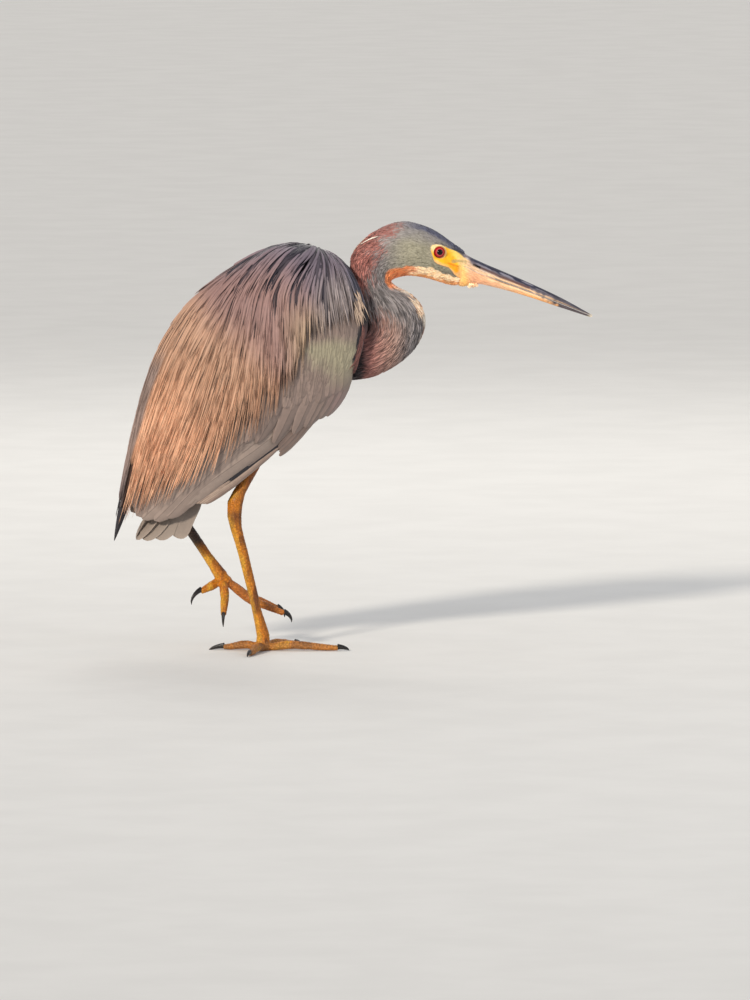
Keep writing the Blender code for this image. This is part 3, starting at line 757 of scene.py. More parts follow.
def claw_material():
    n = Nodes("claw", 0.3, coat=0.2, specular=0.4)
    n.shader.inputs["Coat Roughness"].default_value = 0.15
    worn = n.noise(1200, 4.0)
    n.blended(colour(14, 12, 12), colour(46, 39, 36), n.ramp(worn, 0.45, 0.75))
    n.rough(worn, 0.3, 0.7, 0.25, 0.42)
    return n.bump(worn, 0.3, 0.1)


def floor_material():
    n = Nodes("studio_floor", 0.8, specular=0.2)
    n.blended(colour(224, 223, 220), colour(228, 227, 224), n.ramp(n.noise(14, 4.0), 0.3, 0.7))
    return n.material


# ---------------------------------------------------------------- markings

NECK = Form(HEAD_AND_NECK)
BODY = Form(TRUNK)
COVER = Form(PLUMAGE)

SLATE = colour(139, 132, 132)
CHEEK = colour(176, 170, 148)
CROWN = colour(166, 160, 158)
FOREHEAD = colour(104, 106, 130)
PURPLE = colour(172, 106, 96)
NECK_TAN = colour(196, 156, 140)
FOLD_SHADOW = colour(28, 25, 32)
RUFOUS = colour(255, 158, 98)
CREAM = colour(255, 230, 192)
WHITE = colour(250, 240, 224)
BARE_YELLOW = colour(250, 182, 22)
BARE_CREAM = colour(252, 220, 160)
LEG_ORANGE = colour(196, 118, 26)
WING_BLACK = colour(38, 35, 40)


def painted(tint, *layers):
    """A tint with layers over it, each a colour and its share at each point."""
    for tone, share in layers:
        tint = mix(tint, tone, share)
    return tint


def head_tint(t, angle, p, chance=0.5):
    """Markings of head and neck at points p on the form, for skin and feathers alike. A feather's
    chance, from 0 to 1, moves it a little over the markings' edges."""
    x, z = p[..., 0], p[..., 2]
    from_back, from_front = NECK.depths(t, angle)
    rough = 1.2 * wobble(p, 4.0, 3) + 0.6 * wobble(p, 1.7, 4)
    nape = to_edge(PURPLE_NAPE, PURPLE_NAPE[1:10], x, z) + 2.5 * wobble(p, 5, 8) + 9 * (chance - 0.5)
    lower = smooth(z + 4 * wobble(p, 9, 12) + 14 * (chance - 0.5), 234, 214) * smooth(x, 102, 84)
    # Chin and throat; the chin's cream is brightened past its own colour, painted light on its downward side
    throat = NECK.knot["throat"]
    chin = smooth(from_front + rough, 7.2, 6.3) * (t < throat) * smooth(x, 76, 84)
    cream = mix(1.36 * CREAM, 1.15 * colour(255, 188, 122), smooth(from_front + 0.5 * rough, 2.6, 1.0))
    chin_tone = mix(RUFOUS, cream, smooth(x + 2 * rough, 96, 106))
    bend = smooth(from_front + rough, 8.4, 6.8) * smooth(t, 0.28, 0.34) * smooth(z + rough, 245.0, 248.5)
    # Pale spots and tufts down the front of the neck, with a trace of rufous beside them
    front = smooth(z, 250, 246) * (t > throat) * smooth(z, 206, 216)
    spots = smooth(wobble(p, 4.5, 21) + 0.25, -0.1, 0.25) * smooth(from_front + 0.6 * rough, 2.4, 1.2)
    tuft = smooth(np.hypot(x - 92.2, z - 248.6) + 0.5 * rough, 3.6, 2.4) * smooth(from_front, 8, 6)
    patch = to_line([(105.4, 236.4), (107.0, 233.4), (108.6, 229.6)], x, z)
    patch = smooth(patch + 0.6 * rough, 3.3, 2.3)
    speck = smooth(np.hypot(x - 101.6, z - 240.6) + 0.5 * rough, 2.0, 1.2)
    pale = mix(1.25 * colour(255, 232, 204), colour(236, 176, 140), smooth(wobble(p, 2.4, 22), 0.1, 0.7))
    # Painted shadow in the fold where the neck meets the shoulder
    fold = smooth(np.hypot(x - 67.0, 0.8 * (z - 222)), 6.6, 3.6)
    fold = np.maximum(fold, smooth(x, 69.0, 65.5) * smooth(z, 217, 209))
    return painted(
        SLATE,
        (CHEEK, smooth(z, 246, 262) * smooth(x, 76, 100)),
        (CROWN, smooth(from_back + rough, 16, 5) * smooth(z, 265, 280)),
        (FOREHEAD, smooth(from_back + rough * 0.6, 5.5, 2.0) * smooth(x, 88, 112)),
        (PURPLE, 0.92 * smooth(nape, -4, 4.5) * smooth(z, 232, 246)),
        (mix(PURPLE, NECK_TAN, smooth(x, 66, 92)), 0.85 * lower),
        (chin_tone, chin),
        (RUFOUS, bend),
        (RUFOUS, 0.25 * front * smooth(from_front + rough, 2.2, 1.0)),
        (WHITE, front * spots),
        (pale, np.maximum(tuft, np.maximum(patch, speck))),
        (FOLD_SHADOW, 0.96 * fold),
    )


def bare_share(x, z, grow=0.0):
    """1 on the bare skin of the face, falling to 0 over its edge."""
    return smooth(to_edge(BARE_FACE, BARE_FACE + BARE_FACE[:1], x, z) + grow, -0.5, 0.5)


def face_tint(p):
    """Bare skin round the eye and in front of it, running on over the base of the bill."""
    x, z = p[..., 0], p[..., 2]
    blur = 0.7 * wobble(p, 2.6, 31) + 0.4 * wobble(p, 1.2, 32)
    eye = np.hypot(x - EYE_CENTRE[0] + 1.0, (z - EYE_CENTRE[2] - 0.4) * 1.05)
    # The base of the bill: beige pink, orange at the gape and below, with a grey patch on top
    pink_low = smooth(z + 0.45 * (x - 140) + blur, 259.0, 255.0)
    pink = mix(colour(232, 190, 152), colour(246, 176, 134), pink_low)
    side = smooth(x + 0.3 * (z - 262) + blur, 131.0, 140.5) * smooth(z + 0.5 * (x - 134) + blur, 269.6, 265.4)
    low = smooth(z + 0.35 * (x - 134) + blur, 260.4, 257.6) * smooth(x, 142, 134)
    orange = smooth(to_line([(127.0, 262.2), (130.0, 259.6), (131.5, 258.4)], x, z) + 0.7 * blur, 2.6, 0.8)
    smudge = smooth(to_line([(128.0, 264.3), (132.7, 264.6), (138.0, 263.8)], x, z) + 0.4 * blur, 1.5, 0.3)
    top = smooth(to_line([(138.2, 269.6), (140.5, 267.4), (145.4, 262.9)], x, z) + 0.8 * blur, 3.2, 1.8)
    grey = mix(colour(128, 118, 126), colour(190, 176, 170), smooth(wobble(p, 1.6, 33), -0.5, 0.6))
    dark_top = smooth(x + blur, 138.4, 136.6) * smooth(z + 0.7 * (x - 136), 267.4, 268.6)
    lid = smooth(np.hypot(x - EYE_CENTRE[0], z - EYE_CENTRE[2]), 4.2, 3.8)
    return painted(
        BARE_YELLOW,
        (colour(255, 216, 112), smooth(x + 0.6 * (z - 268) + blur, 127, 133)),
        (colour(255, 206, 150), smooth(x + 0.5 * (z - 268) + blur, 133.5, 141.0)),
        (BARE_CREAM, smooth(eye + 0.3 * blur, 6.4, 5.3) * smooth(z + 0.75 * (x - 119), 266.5, 270.5)),
        (pink, side),
        (colour(252, 192, 122), low),
        (colour(255, 168, 20), orange),
        (colour(226, 126, 12), 0.8 * smooth(to_line(GAPE[:3], x, z), 0.75, 0.15)),
        (colour(168, 148, 100), 0.8 * smudge * smooth(x, 126.5, 129.5)),
        (grey, top * smooth(z + 0.75 * (x - 138), 265.0, 267.0)),
        (colour(84, 82, 96), 0.9 * dark_top),
        (colour(90, 46, 26), 0.8 * lid),
    )


def down_back(x, z):
    """How far back and down from the shoulders a point of the back is, as a negative number."""
    return 0.62 * (x - 40) + 0.78 * (z - 275)


def plume_tint(p, angle, value):
    """The back: slate above, then pinkish brown, then bright tan towards the plumes' ends, with a
    grey strip along the ridge below. A plume's value, from 0 to 1, is how far it stands in light."""
    x, z = p[..., 0], p[..., 2]
    value = np.asarray(value, float)[..., None]
    down = down_back(x, z)
    rim = smooth(x + 0.25 * (z - 250), 53, 59) * smooth(z, 268, 256)
    ridge = smooth(np.abs(angle) + 0.04 * wobble(p, 12, 44), 0.50, 0.36) * smooth(z, 214, 190)
    tint = painted(
        colour(118, 106, 118),
        (colour(146, 115, 110), smooth(down + 8 * wobble(p, 30, 41), -14, -58)),
        (colour(184, 145, 120), smooth(down + 9 * wobble(p, 22, 42), -62, -112)),
        (colour(216, 168, 136), 0.9 * smooth(down + 10 * wobble(p, 18, 43), -108, -160) * smooth(x, 0, -40)),
        (colour(176, 152, 124), 0.8 * smooth(x + 0.1 * (z - 200), 2, 28) * smooth(z, 250, 215)),
        (colour(158, 146, 144), 0.85 * smooth(x, 24, 44) * smooth(z, 180, 215) * smooth(z, 266, 246)),
        (colour(84, 88, 110), 0.8 * rim),
        (mix(colour(132, 116, 112), colour(96, 90, 96), smooth(z, 140, 105)), 0.9 * ridge),
    )
    # Painted light and shade: plumes of low value fall to a deep dark tone, and each is darkened or
    # brightened by its value
    deep = mix(colour(46, 42, 56), colour(74, 50, 42), smooth(down, -40, -110))
    return mix(deep, tint, smooth(value[..., 0], 0.0, 0.45)) * (0.72 + 0.55 * value)


# ---------------------------------------------------------------- skin


def shape_face(p):
    """Lids round the eye, a hollow in front of it and the line of the gape."""
    side = np.sign(p[..., 1])
    depth = np.abs(p[..., 1])
    x, z = p[..., 0], p[..., 2]
    far = np.hypot(x - EYE_CENTRE[0], z - EYE_CENTRE[2])
    ball = EYE_CENTRE[1] + np.sqrt(np.maximum(EYE_RADIUS**2 - far**2, 0))
    hollow = smooth(to_line([(126.0, 267.2), (130.5, 265.8)], x, z), 4.2, 0.5)
    depth = depth - 0.9 * hollow * smooth(depth, 3, 6)
    depth = depth - 0.45 * smooth(to_line(GAPE, x, z), 0.7, 0.1) * smooth(depth, 3, 5)
    brow = smooth(to_line([(113.8, 277.6), (122.5, 276.8), (129.5, 273.4)], x, z), 3.0, 0.3)
    depth = depth + 0.5 * brow * smooth(depth, 3, 6)
    lid = np.maximum(depth, ball + 0.35) * smooth(far, 5.6, 4.8) + depth * smooth(far, 4.8, 5.6)
    past_opening = smooth(far, 3.75, 3.95)
    opened = lid * past_opening + np.minimum(ball - 0.8, lid) * (1 - past_opening)
    return np.stack([x, side * np.where((far < 6) & (depth > 4), opened, depth), z], -1)


def head_skin():
    """Head and neck, in finer steps as far as the crown, with their tint."""
    crown = NECK.knot["crown"]
    fine = int(crown * NECK.length / 0.42)
    t = np.concatenate([np.linspace(0, crown, fine, endpoint=False), np.linspace(crown, 1.0, 90)])
    t, angle = np.meshgrid(t, np.linspace(0, FULL_TURN, 220, endpoint=False), indexing="ij")
    surface = NECK.point(t, angle)
    bare = bare_share(surface[..., 0], surface[..., 2])
    coat_depth = 1.0 + 1.6 * smooth(t, crown, NECK.knot["throat"])
    grid = NECK.point(t, angle, coat_depth * (1 - bare) + 0.35 * smooth(t, 0.03, 0.0))
    grid[..., 1] *= 1 - 0.15 * smooth(t, 0.042, 0.004)
    # Under the feathers the skin takes their markings darkened by a quarter, painted shade where it shows
    # between them
    tint = mix(head_tint(t, angle, surface) * 0.75, face_tint(surface), bare).reshape(-1, 3)
    return loft(shape_face(grid)), np.concatenate([tint, tint[[0, -1]]])


def trunk_skin():
    around = np.linspace(0, FULL_TURN, 90, endpoint=False)
    t, angle = np.meshgrid(np.linspace(0, 1, 70), around, indexing="ij")
    coat_depth = 3.5
    return loft(BODY.point(t, angle, coat_depth)), colour(170, 158, 148)


def lid_rim(side):
    """A round rim on the lids, where they meet the eyeball."""
    radius, thick = 4.0, 0.34
    a = np.linspace(0, FULL_TURN, 72, endpoint=False)[:, None]
    b = np.linspace(0, FULL_TURN, 12, endpoint=False)
    reach = radius + thick * np.cos(b)
    rise = math.sqrt(EYE_RADIUS**2 - radius**2) + 0.12 + 0.3 * np.sin(b)
    x = EYE_CENTRE[0] + np.cos(a) * reach
    z = EYE_CENTRE[2] + np.sin(a) * reach
    grid = np.stack([x, -side * (EYE_CENTRE[1] + rise) + 0 * x, z], -1)
    faces = bands(*x.shape, closed=True)
    return (grid.reshape(-1, 3), faces, np.zeros((0, 3), int)), colour(178, 122, 62)


def build_skin():
    shapes, tints = zip(head_skin(), trunk_skin(), lid_rim(RIGHT), lid_rim(LEFT), leg_skin())
    starts = np.cumsum([0] + [len(points) for points, _, _ in shapes])
    points = np.concatenate([shape[0] for shape in shapes])
    quads = np.concatenate([shape[1] + start for shape, start in zip(shapes, starts)])
    tris = np.concatenate([shape[2] + start for shape, start in zip(shapes, starts)])
    made = make_mesh("skin", points, quads, tris, skin_material(), 60)
    put_tint(made, np.concatenate([np.broadcast_to(t, s[0].shape) for s, t in zip(shapes, tints)]))
    legs_start = starts[-2]
    put_attribute(made, "scaly", "FLOAT", np.arange(len(points)) >= legs_start)
    finish_piece(made, ["head", "neck_upper", "neck_middle", "neck_lower", "trunk"] + LEG_NODES)


def leg_skin():
    """Legs and feet, melted together from the frame's own pieces, with scales raised on them."""
    grow_by = {"thigh": -1.6, "toe_left": 0.7, "toe_right": 0.5}
    points, faces, offset = [], [], 0
    for name in LEG_NODES:
        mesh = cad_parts[name].data
        co = read(mesh.vertices, "co", 3).astype(float) / MM
        corners, index = np.unique(np.round(co, 3), axis=0, return_inverse=True)
        index = index.ravel()
        normals = np.zeros_like(corners)
        for polygon in mesh.polygons:
            a, b, c = index[list(polygon.vertices)][:3]
            normals[[a, b, c]] += np.cross(corners[b] - corners[a], corners[c] - corners[a])
            if len({a, b, c}) == 3:
                faces.append((a + offset, b + offset, c + offset))
        grow = next((g for start, g in grow_by.items() if name.startswith(start)), 0.3)
        points.append(corners + unit(normals) * grow)
        offset += len(corners)
    mesh = bpy.data.meshes.new("legs")
    mesh.from_pydata((np.concatenate(points) * MM).tolist(), [], np.array(faces).tolist())
    made = show("legs", mesh)
    melt = made.modifiers.new("melt", "REMESH")
    melt.mode = "VOXEL"
    melt.voxel_size = 0.5 * MM
    ease = made.modifiers.new("ease", "SMOOTH")
    ease.iterations = 4
    ease.factor = 0.5
    evaluated = made.evaluated_get(bpy.context.evaluated_depsgraph_get())
    melted = evaluated.to_mesh()
    normal = read(melted.vertices, "normal", 3).astype(float)
    p = read(melted.vertices, "co", 3).astype(float) / MM - normal * 0.25
    corners = read(melted.loops, "vertex_index", 1, np.int32)[:, 0]
    totals, starts = (read(melted.polygons, key, 1, np.int32)[:, 0] for key in ("loop_total", "loop_start"))
    quads, tris = (corners[starts[totals == n][:, None] + np.arange(n)] for n in (4, 3))
    evaluated.to_mesh_clear()
    bpy.data.objects.remove(made)
    p, tint = scale_legs(p, normal)
    return (p, quads, tris), tint


def grooves(way, step, wide):
    """1 in the narrow grooves that come once a step along a way, and 0 between them."""
    phase = (way / step) % 1
    return smooth(np.minimum(phase, 1 - phase), wide, 0.0)


def scale_legs(p, normal):
    """Raises scutes down the front of each leg and along the toes, and colours the legs."""
    left = p[:, 1] > 6.0
    standing = ~left | ((np.hypot(p[:, 0], p[:, 1]) < 60) & (p[:, 0] > -40) & (p[:, 2] < 12))
    tint = np.zeros_like(p)
    lift = np.zeros(len(p))
    for leg, mine in ((RIGHT_LEG, standing), (LEFT_LEG, ~standing)):
        lifted = leg is LEFT_LEG
        ankle, foot = np.array(leg["ankle"], float), np.array(leg["foot"], float)
        total = np.linalg.norm(foot - ankle)
        shin = unit(foot - ankle)
        ahead = unit(np.cross(np.array([0, -1.0, 0]), shin))
        ahead = ahead * (1 if ahead[0] > 0 else -1)
        down = (p - ankle) @ shin
        facing = normal @ ahead
        on_shin = smooth(down, 2, 8) * smooth(down, total + 3, total - 3)
        if lifted:
            is_toe = smooth(down, total + 4, total + 8)
            away = np.linalg.norm(p - foot, axis=1)
            upward = normal @ unit(ahead + np.array([0, 0, 0.6]))
        else:
            is_toe = smooth(p[:, 2], 7.5, 4.5)
            away = np.hypot(p[:, 0], p[:, 1])
            upward = normal[:, 2]
        # Scutes on the shin's front, and rings on the toes' upper sides
        scutes = grooves(down, 4.4, 0.1) * smooth(facing, 0.35, 0.6) * on_shin
        rings = grooves(away, 2.3, 0.16) * smooth(upward, -0.1, 0.35) * is_toe
        lift += np.where(mine, -0.22 * scutes - 0.26 * rings, 0)
        blotch = wobble(p, 7, 51) + 0.6 * wobble(p, 2.5, 52)
        # Painted light and shade: the legs' back sides, which face the light, are painted yellow and their
        # fronts brown, and their tops are painted in shadow under the belly
        behind = smooth(-facing + 0.2 * wobble(p, 5, 56), 0.0, 0.8) * on_shin
        shade = smooth(facing + 0.25 * wobble(p, 5, 53), -0.15, 0.6) * on_shin
        above = smooth(down, 4, -16)
        tone = painted(
            LEG_ORANGE,
            (colour(122, 70, 28), smooth(blotch, -0.1, 0.9)),
            (colour(208, 150, 44), smooth(-blotch, 0.3, 1.2)),
            (colour(214, 158, 50), 0.7 * behind),
            (colour(112, 64, 30), 0.5 * shade * smooth(down, 0.2 * total, 0.02 * total) + 0.38 * shade),
            (colour(170, 116, 62), 0.65 * is_toe),
            (colour(118, 62, 26), 0.5 * above + 0.4 * above * smooth(facing, -0.2, 0.5)),
        )
        if lifted:
            # The lifted leg's upper part is painted in shadow, near black brown
            thigh = smooth(down + 2 * blotch, 0.78 * total, 0.68 * total)
            tone = painted(tone, (colour(58, 44, 38), 0.95 * thigh), (colour(190, 104, 36), 0.5 * is_toe))
        tone = tone * (1 - 0.35 * scutes - 0.35 * rings)[:, None]
        tint = np.where(mine[:, None], tone, tint)
    small = np.sin(p[:, 0] * 4.1 + 2 * wobble(p, 3, 54)) * np.sin(p[:, 2] * 3.6 + 2 * wobble(p, 3, 55))
    sole = p[:, 2] < 0.35
    moved = p + normal * np.where(sole, 0, lift + 0.08 * small)[:, None]
    moved[:, 2] = np.maximum(moved[:, 2], 0.02)
    return moved, tint


# ---------------------------------------------------------------- directions of the coat


def near(form, count, seed, t_range, angle_range):
    """Random places on a form, even over its area: t, angle and a chance from 0 to 1."""
    rng = np.random.default_rng(seed)
    t = rng.uniform(*t_range, count * 4)
    angle = rng.uniform(*angle_range, count * 4)
    along, around, _ = form.rates(t, angle)
    area = np.linalg.norm(np.cross(along, around), axis=-1)
    keep = rng.random(count * 4) < area / np.quantile(area, 0.98)
    t, angle = t[keep][:count], angle[keep][:count]
    return t, angle, rng.random(len(t))


def down_the_neck(p, t, angle):
    return unit(NECK.rates(t, angle)[0])


def down_the_trunk(p, t, angle):
    return unit(BODY.rates(t, angle)[0]) + np.array([0, 0, -0.25])


def down_the_back(p, t, angle):
    """Plumes sweep back from the ridge of the shoulders, then hang down over the wings."""
    x, y, z = p[..., 0], p[..., 1], p[..., 2]
    lean = -0.42 * smooth(x, 16, -60) - 0.16 * smooth(x, -20, -40) * smooth(z, 200, 240)
    lean = lean + 0.10 * smooth(x, 20, 45)
    high = smooth(z, 238, 272)
    out = np.sign(np.where(np.abs(y) < 0.01, 0.01, y)) * (0.5 * high + 0.05) * smooth(np.abs(y), 0, 6)
    return unit(np.stack([lean - 1.0 * high * smooth(x, 50, 14), out, -1.0 + 0 * x], -1))


def down_the_wing(p, t, angle):
    """Coverts hang from the shoulder and turn back along the wing's lower edge."""
    x, z = p[..., 0], p[..., 2]
    low = smooth(0.64 * (z - 150) - 0.77 * (x - 5), 4, -24)
    return unit(np.stack([-0.12 - 0.9 * low, 0 * x, -1.0 + 0.25 * low], -1))


def plume_room(p):
    """How far a point is above the plumes' lower edge."""
    edge = np.array(PLUME_EDGE[::-1], float)
    return p[..., 2] - np.interp(p[..., 0], edge[:, 0], edge[:, 1])


# ---------------------------------------------------------------- head and neck


def coat_head(material):
    coat = Coat("head_feathers", "plumage", material)
    stations = np.array([0, 0.3, 0.7, 1.0])
    crown, nape, throat = (NECK.knot[name] for name in ("crown", "nape", "throat"))
    t, angle, chance = near(NECK, 11200, 101, (0.0, throat), (0, FULL_TURN))
    rng = np.random.default_rng(102)
    size = smooth(t, 0.02, throat)
    length = (2.6 + 6.4 * size**1.2) * (0.8 + 0.4 * chance)
    laid = lay(NECK, t, angle, length, stations, down_the_neck, 0.6, rng.normal(0, 0.13, len(t)))
    path = NECK.point(laid[0], laid[1])
    keep = bare_share(path[..., 0], path[..., 2], 0.25).max(1) < 0.4
    t, chance, length, size, path = t[keep], chance[keep], length[keep], size[keep], path[keep]
    laid = tuple(a[keep] for a in laid)
    half = (0.34 + 0.3 * size)[:, None] * shape_pointed(stations, 0.45)
    spread = (0.1 + 0.32 * smooth(t, crown, nape)) * rng.normal(0, 1, len(t)).clip(-1.6, 1.8)
    tone = head_tint(laid[0], laid[1], path, chance[:, None]) * (1.0 + spread)[:, None, None].clip(0.3, 2)
    # A dark rim of small feathers along the upper edge of the bare face
    rim = smooth(bare_share(path[..., 0], path[..., 2], 1.2), 0.3, 0.9)
    rim = rim * smooth(path[..., 2] + 0.6 * (path[..., 0] - 119), 273, 276)
    tone = mix(tone, colour(48, 46, 54), 0.7 * rim)
    deep = 0.95 + 0.9 * smooth(t, crown, throat)
    inset = deep[:, None] * (1 - stations) ** 0.8 - 0.05 + rng.uniform(-0.12, 0.08, len(t))[:, None]
    roll = rng.normal(0, 0.1, len(t))
    coat.on_form(NECK, laid, stations, length, half, 0.13, inset, STRAND, tone, roll=roll)
    for side in (RIGHT, LEFT):
        for line, wide in CREST:
            add_crest_feather(coat, side, line, wide)
    add_chin_tuft(coat, stations, rng)
    coat.build()


def add_crest_feather(coat, side, line, wide):
    stations = np.array([0, 0.15, 0.35, 0.55, 0.75, 0.9, 1.0])
    path = curve(line, stations)
    t, angle = find(NECK, path[:, 0], path[:, 1], 0.0, side)
    p = NECK.point(t, angle, -0.35)[None]
    normal = NECK.rates(t, angle)[2][None]
    sides = unit(np.cross(normal, unit(np.gradient(p, axis=1))))
    half = wide * shape_pointed(stations, 0.4)[None]
    tone = np.broadcast_to(WHITE, p.shape)
    uv = on_map(t[:1], angle[:1])
    coat.free(p, sides, normal, stations, way_length(p), half, 0.18, STRAND, tone, uv)


def add_chin_tuft(coat, stations, rng):
    """The chin's feathers reach forward under the lower bill."""
    count = 260
    chance = rng.random(count)
    x = 139.0 + 5.6 * rng.random(count)
    turn = 1.35 * rng.uniform(-1, 1, count)
    reach = 2.0 + 2.2 * chance
    low = np.interp(x, *np.transpose(GONYS)) + 0.4
    wide, high = 5.0 - 0.30 * (x - 133), 3.6 - 0.25 * (x - 133)
    spot = np.stack([x, wide * np.sin(turn), low + high * (1 - np.cos(turn))], -1)[:, None]
    out = np.stack([0 * x, np.sin(turn), -np.cos(turn)], -1)[:, None]
    way = np.stack([1 + 0 * x, 0.3 * rng.normal(size=count), -0.45 + 0.3 * rng.normal(size=count)], -1)
    way = unit(way)[:, None]
    along = stations[:, None]
    points = spot + way * reach[:, None, None] * along + out * (0.1 + 0.8 * along * chance[:, None, None])
    out = np.broadcast_to(out, points.shape)
    half = np.tile(0.55 * shape_pointed(stations, 0.45), (count, 1))
    # The tuft is brightened past its own cream, painted light on these downward feathers
    tone = mix(CREAM, colour(255, 206, 160), rng.random(count)) * (1.05 + 0.3 * chance)[:, None]
    uv = np.stack([0.03 + 0 * x, 0.05 + 0.9 * chance], -1)
    sides = unit(np.cross(out, way))
    coat.free(points, sides, out, stations, reach, half, 0.13, STRAND, held(tone, stations), uv)


def coat_neck(material):
    coat = Coat("neck_feathers", "plumage", material)
    stations = np.array([0, 0.15, 0.4, 0.7, 0.9, 1.0])
    start = NECK.knot["hind crown"]
    t, angle, chance = near(NECK, 5600, 111, (start, 0.985), (0, FULL_TURN))
    rng = np.random.default_rng(112)
    size = smooth(t, start, NECK.knot["middle neck"])
    length = (8.0 + 10.0 * size) * (0.75 + 0.5 * chance)
    laid = lay(NECK, t, angle, length, stations, down_the_neck, 1.2, rng.normal(0, 0.1, len(t)))
    path = NECK.point(laid[0], laid[1])
    half = (0.5 + 0.3 * size)[:, None] * shape_pointed(stations, 0.4)
    # Light and dark feathers lie among the others, but not on the front edge
    streak = rng.random(len(t))
    value = np.where(streak > 0.7, 1.42, np.where(streak < 0.3, 0.56, 0.97)) * (0.88 + 0.24 * chance)
    even = smooth(NECK.depths(laid[0][:, 3], laid[1][:, 3])[1], 5, 2)
    value = value * (1 - even) + 1.0 * even
    tone = head_tint(laid[0], laid[1], path, chance[:, None]) * value[:, None, None]
    uneven = rng.uniform(-0.45, 0.3, len(t)) * (1 - 0.7 * even)
    inset = (1.6 + 0.9 * size)[:, None] * (1 - stations) ** 0.75 - 0.1 + uneven[:, None]
    roll = rng.normal(0, 0.2, len(t))
    coat.on_form(NECK, laid, stations, length, half, 0.2, inset, STRAND, tone, STRAND_SHADE, roll=roll)
    coat.build()


# ---------------------------------------------------------------- trunk


def coat_belly(material):
    coat = Coat("belly_feathers", "plumage", material)
    stations = np.array([0, 0.2, 0.5, 0.8, 0.93, 1.0])
    t, angle, chance = near(BODY, 3600, 121, (0.0, 1.0), np.radians((60, 300)))
    rng = np.random.default_rng(122)
    length = (13 + 7 * chance) * (1 - 0.3 * smooth(t, 0.8, 1.0))
    laid = lay(BODY, t, angle, length, stations, down_the_trunk, 2.0, rng.normal(0, 0.15, len(t)))
    half = (2.1 + 0.8 * chance)[:, None] * shape_round(stations, 0.25, 0.7)
    belly = smooth(np.abs(np.cos(angle)), 0.3, 0.8)
    tone = mix(colour(140, 130, 124), colour(226, 219, 207), belly) * (0.86 + 0.24 * chance)[:, None]
    inset = 3.0 * (1 - stations) ** 0.7 + 0.2 + rng.uniform(-0.3, 0.3, len(t))[:, None]
    roll = rng.normal(0, 0.2, len(t))
    coat.on_form(BODY, laid, stations, length, half, 0.22, inset, STRAND, held(tone, stations), roll=roll)
    coat.build()


# ---------------------------------------------------------------- back plumes


def add_dark_layer(coat, side):
    """A dark shell under the plumes that keeps light out of their gaps, coloured with painted shade."""
    first, last = 0.004, 0.93
    columns = np.radians(np.linspace(-2, 100, 50)) * side
    t_line = np.linspace(first, last, 200)
    ends = []
    for a in columns:
        room = plume_room(COVER.point(t_line, np.full(200, a)))
        out = np.nonzero(room < 40 - 28 * smooth(abs(a), 0.7, 0.2))[0]
        ends.append(max(t_line[out[0]], 0.02) if len(out) else last)
    t = np.linspace(first, ends, 44)
    angle = np.broadcast_to(columns, t.shape)
    coat.plate(COVER, t, angle, 2.8, 3.3, plume_tint(COVER.point(t, angle), angle, np.full(t.shape, 0.06)))


def coat_back(material, side, name, nodes):
    """Long hair-like plumes over a dark layer."""
    coat = Coat(name, "back_plumes", material, nodes)
    seed = 200 if side == RIGHT else 250
    add_dark_layer(coat, side)

    stations = np.array([0, 0.06, 0.15, 0.26, 0.38, 0.5, 0.62, 0.74, 0.84, 0.92, 0.97, 1.0])
    last = len(stations) - 1
    rng = np.random.default_rng(seed + 4)
    t, angle, chance = near(COVER, 3900, seed + 3, (0.02, 0.86), np.radians((0.5, 100)))
    angle = angle * side
    start = COVER.point(t, angle)
    length = 66 + 44 * chance
    turn = rng.normal(0, 0.022, len(t)) + 0.05 * wobble(start, 22, seed)
    sunk = rng.random(len(t)) < 0.46
    end_room = (-4 + 14 * sunk + 46 * rng.random(len(t)) ** 1.15) * smooth(np.abs(angle), 0.15, 0.6)
    # Each plume ends where it would pass the lower edge or the gap along the ridge
    for _ in range(2):
        laid = lay(COVER, t, angle, length, stations, down_the_back, 1.0, turn)
        path, from_ridge = COVER.point(laid[0], laid[1]), np.abs(laid[1])
        low = path[..., 2]
        room = plume_room(path) - end_room[:, None]
        gap = (low < 128) & (from_ridge < 0.56) & (from_ridge > 0.34)
        out = (room <= 0) | gap | ((low < 103 + 12 * chance[:, None]) & (from_ridge < 0.45))
        before = np.where(out.any(1), np.maximum(np.argmax(out, axis=1) - 1, 1), last)
        length = length * stations[before]
    behind = down_back(start[:, 0], start[:, 2]) + 14 * (chance - 0.5) < -22
    keep = np.nonzero((length > 24) & (room[:, 0] > 0) & behind)[0][:2250]
    t, angle, length, turn, sunk = t[keep], angle[keep], length[keep], turn[keep], sunk[keep]
    laid = lay(COVER, t, angle, length, stations, down_the_back, 1.0, turn)
    # Nearly half the plumes lie deep in painted shade; the others stand over them, each at its own height,
    # brighter with painted light the higher they stand
    height = rng.random(len(t))
    value = np.where(sunk, 0.06 + 0.26 * height, 0.48 + 0.5 * height)
    half = np.where(sunk, 0.95, 0.42 + 0.34 * rng.random(len(t)))[:, None] * shape_pointed(stations, 0.2)
    # Each plume is darkened a little towards its root, painted shade
    root_shade = 1 - 0.12 * smooth(stations, 0.3, 0.0)
    tone = plume_tint(COVER.point(laid[0], laid[1]), laid[1], value[:, None] * root_shade)
    level = (np.where(sunk, 0.75, -0.1) - 0.75 * height)[:, None]
    inset = 2.5 - 1.9 * stations**0.8 + level * stations**0.3
    roll = rng.normal(0, 0.12, len(t))
    coat.on_form(COVER, laid, stations, length, half, 0.3, inset, STRAND, tone, STRAND_SHADE, roll=roll)
    coat.build()


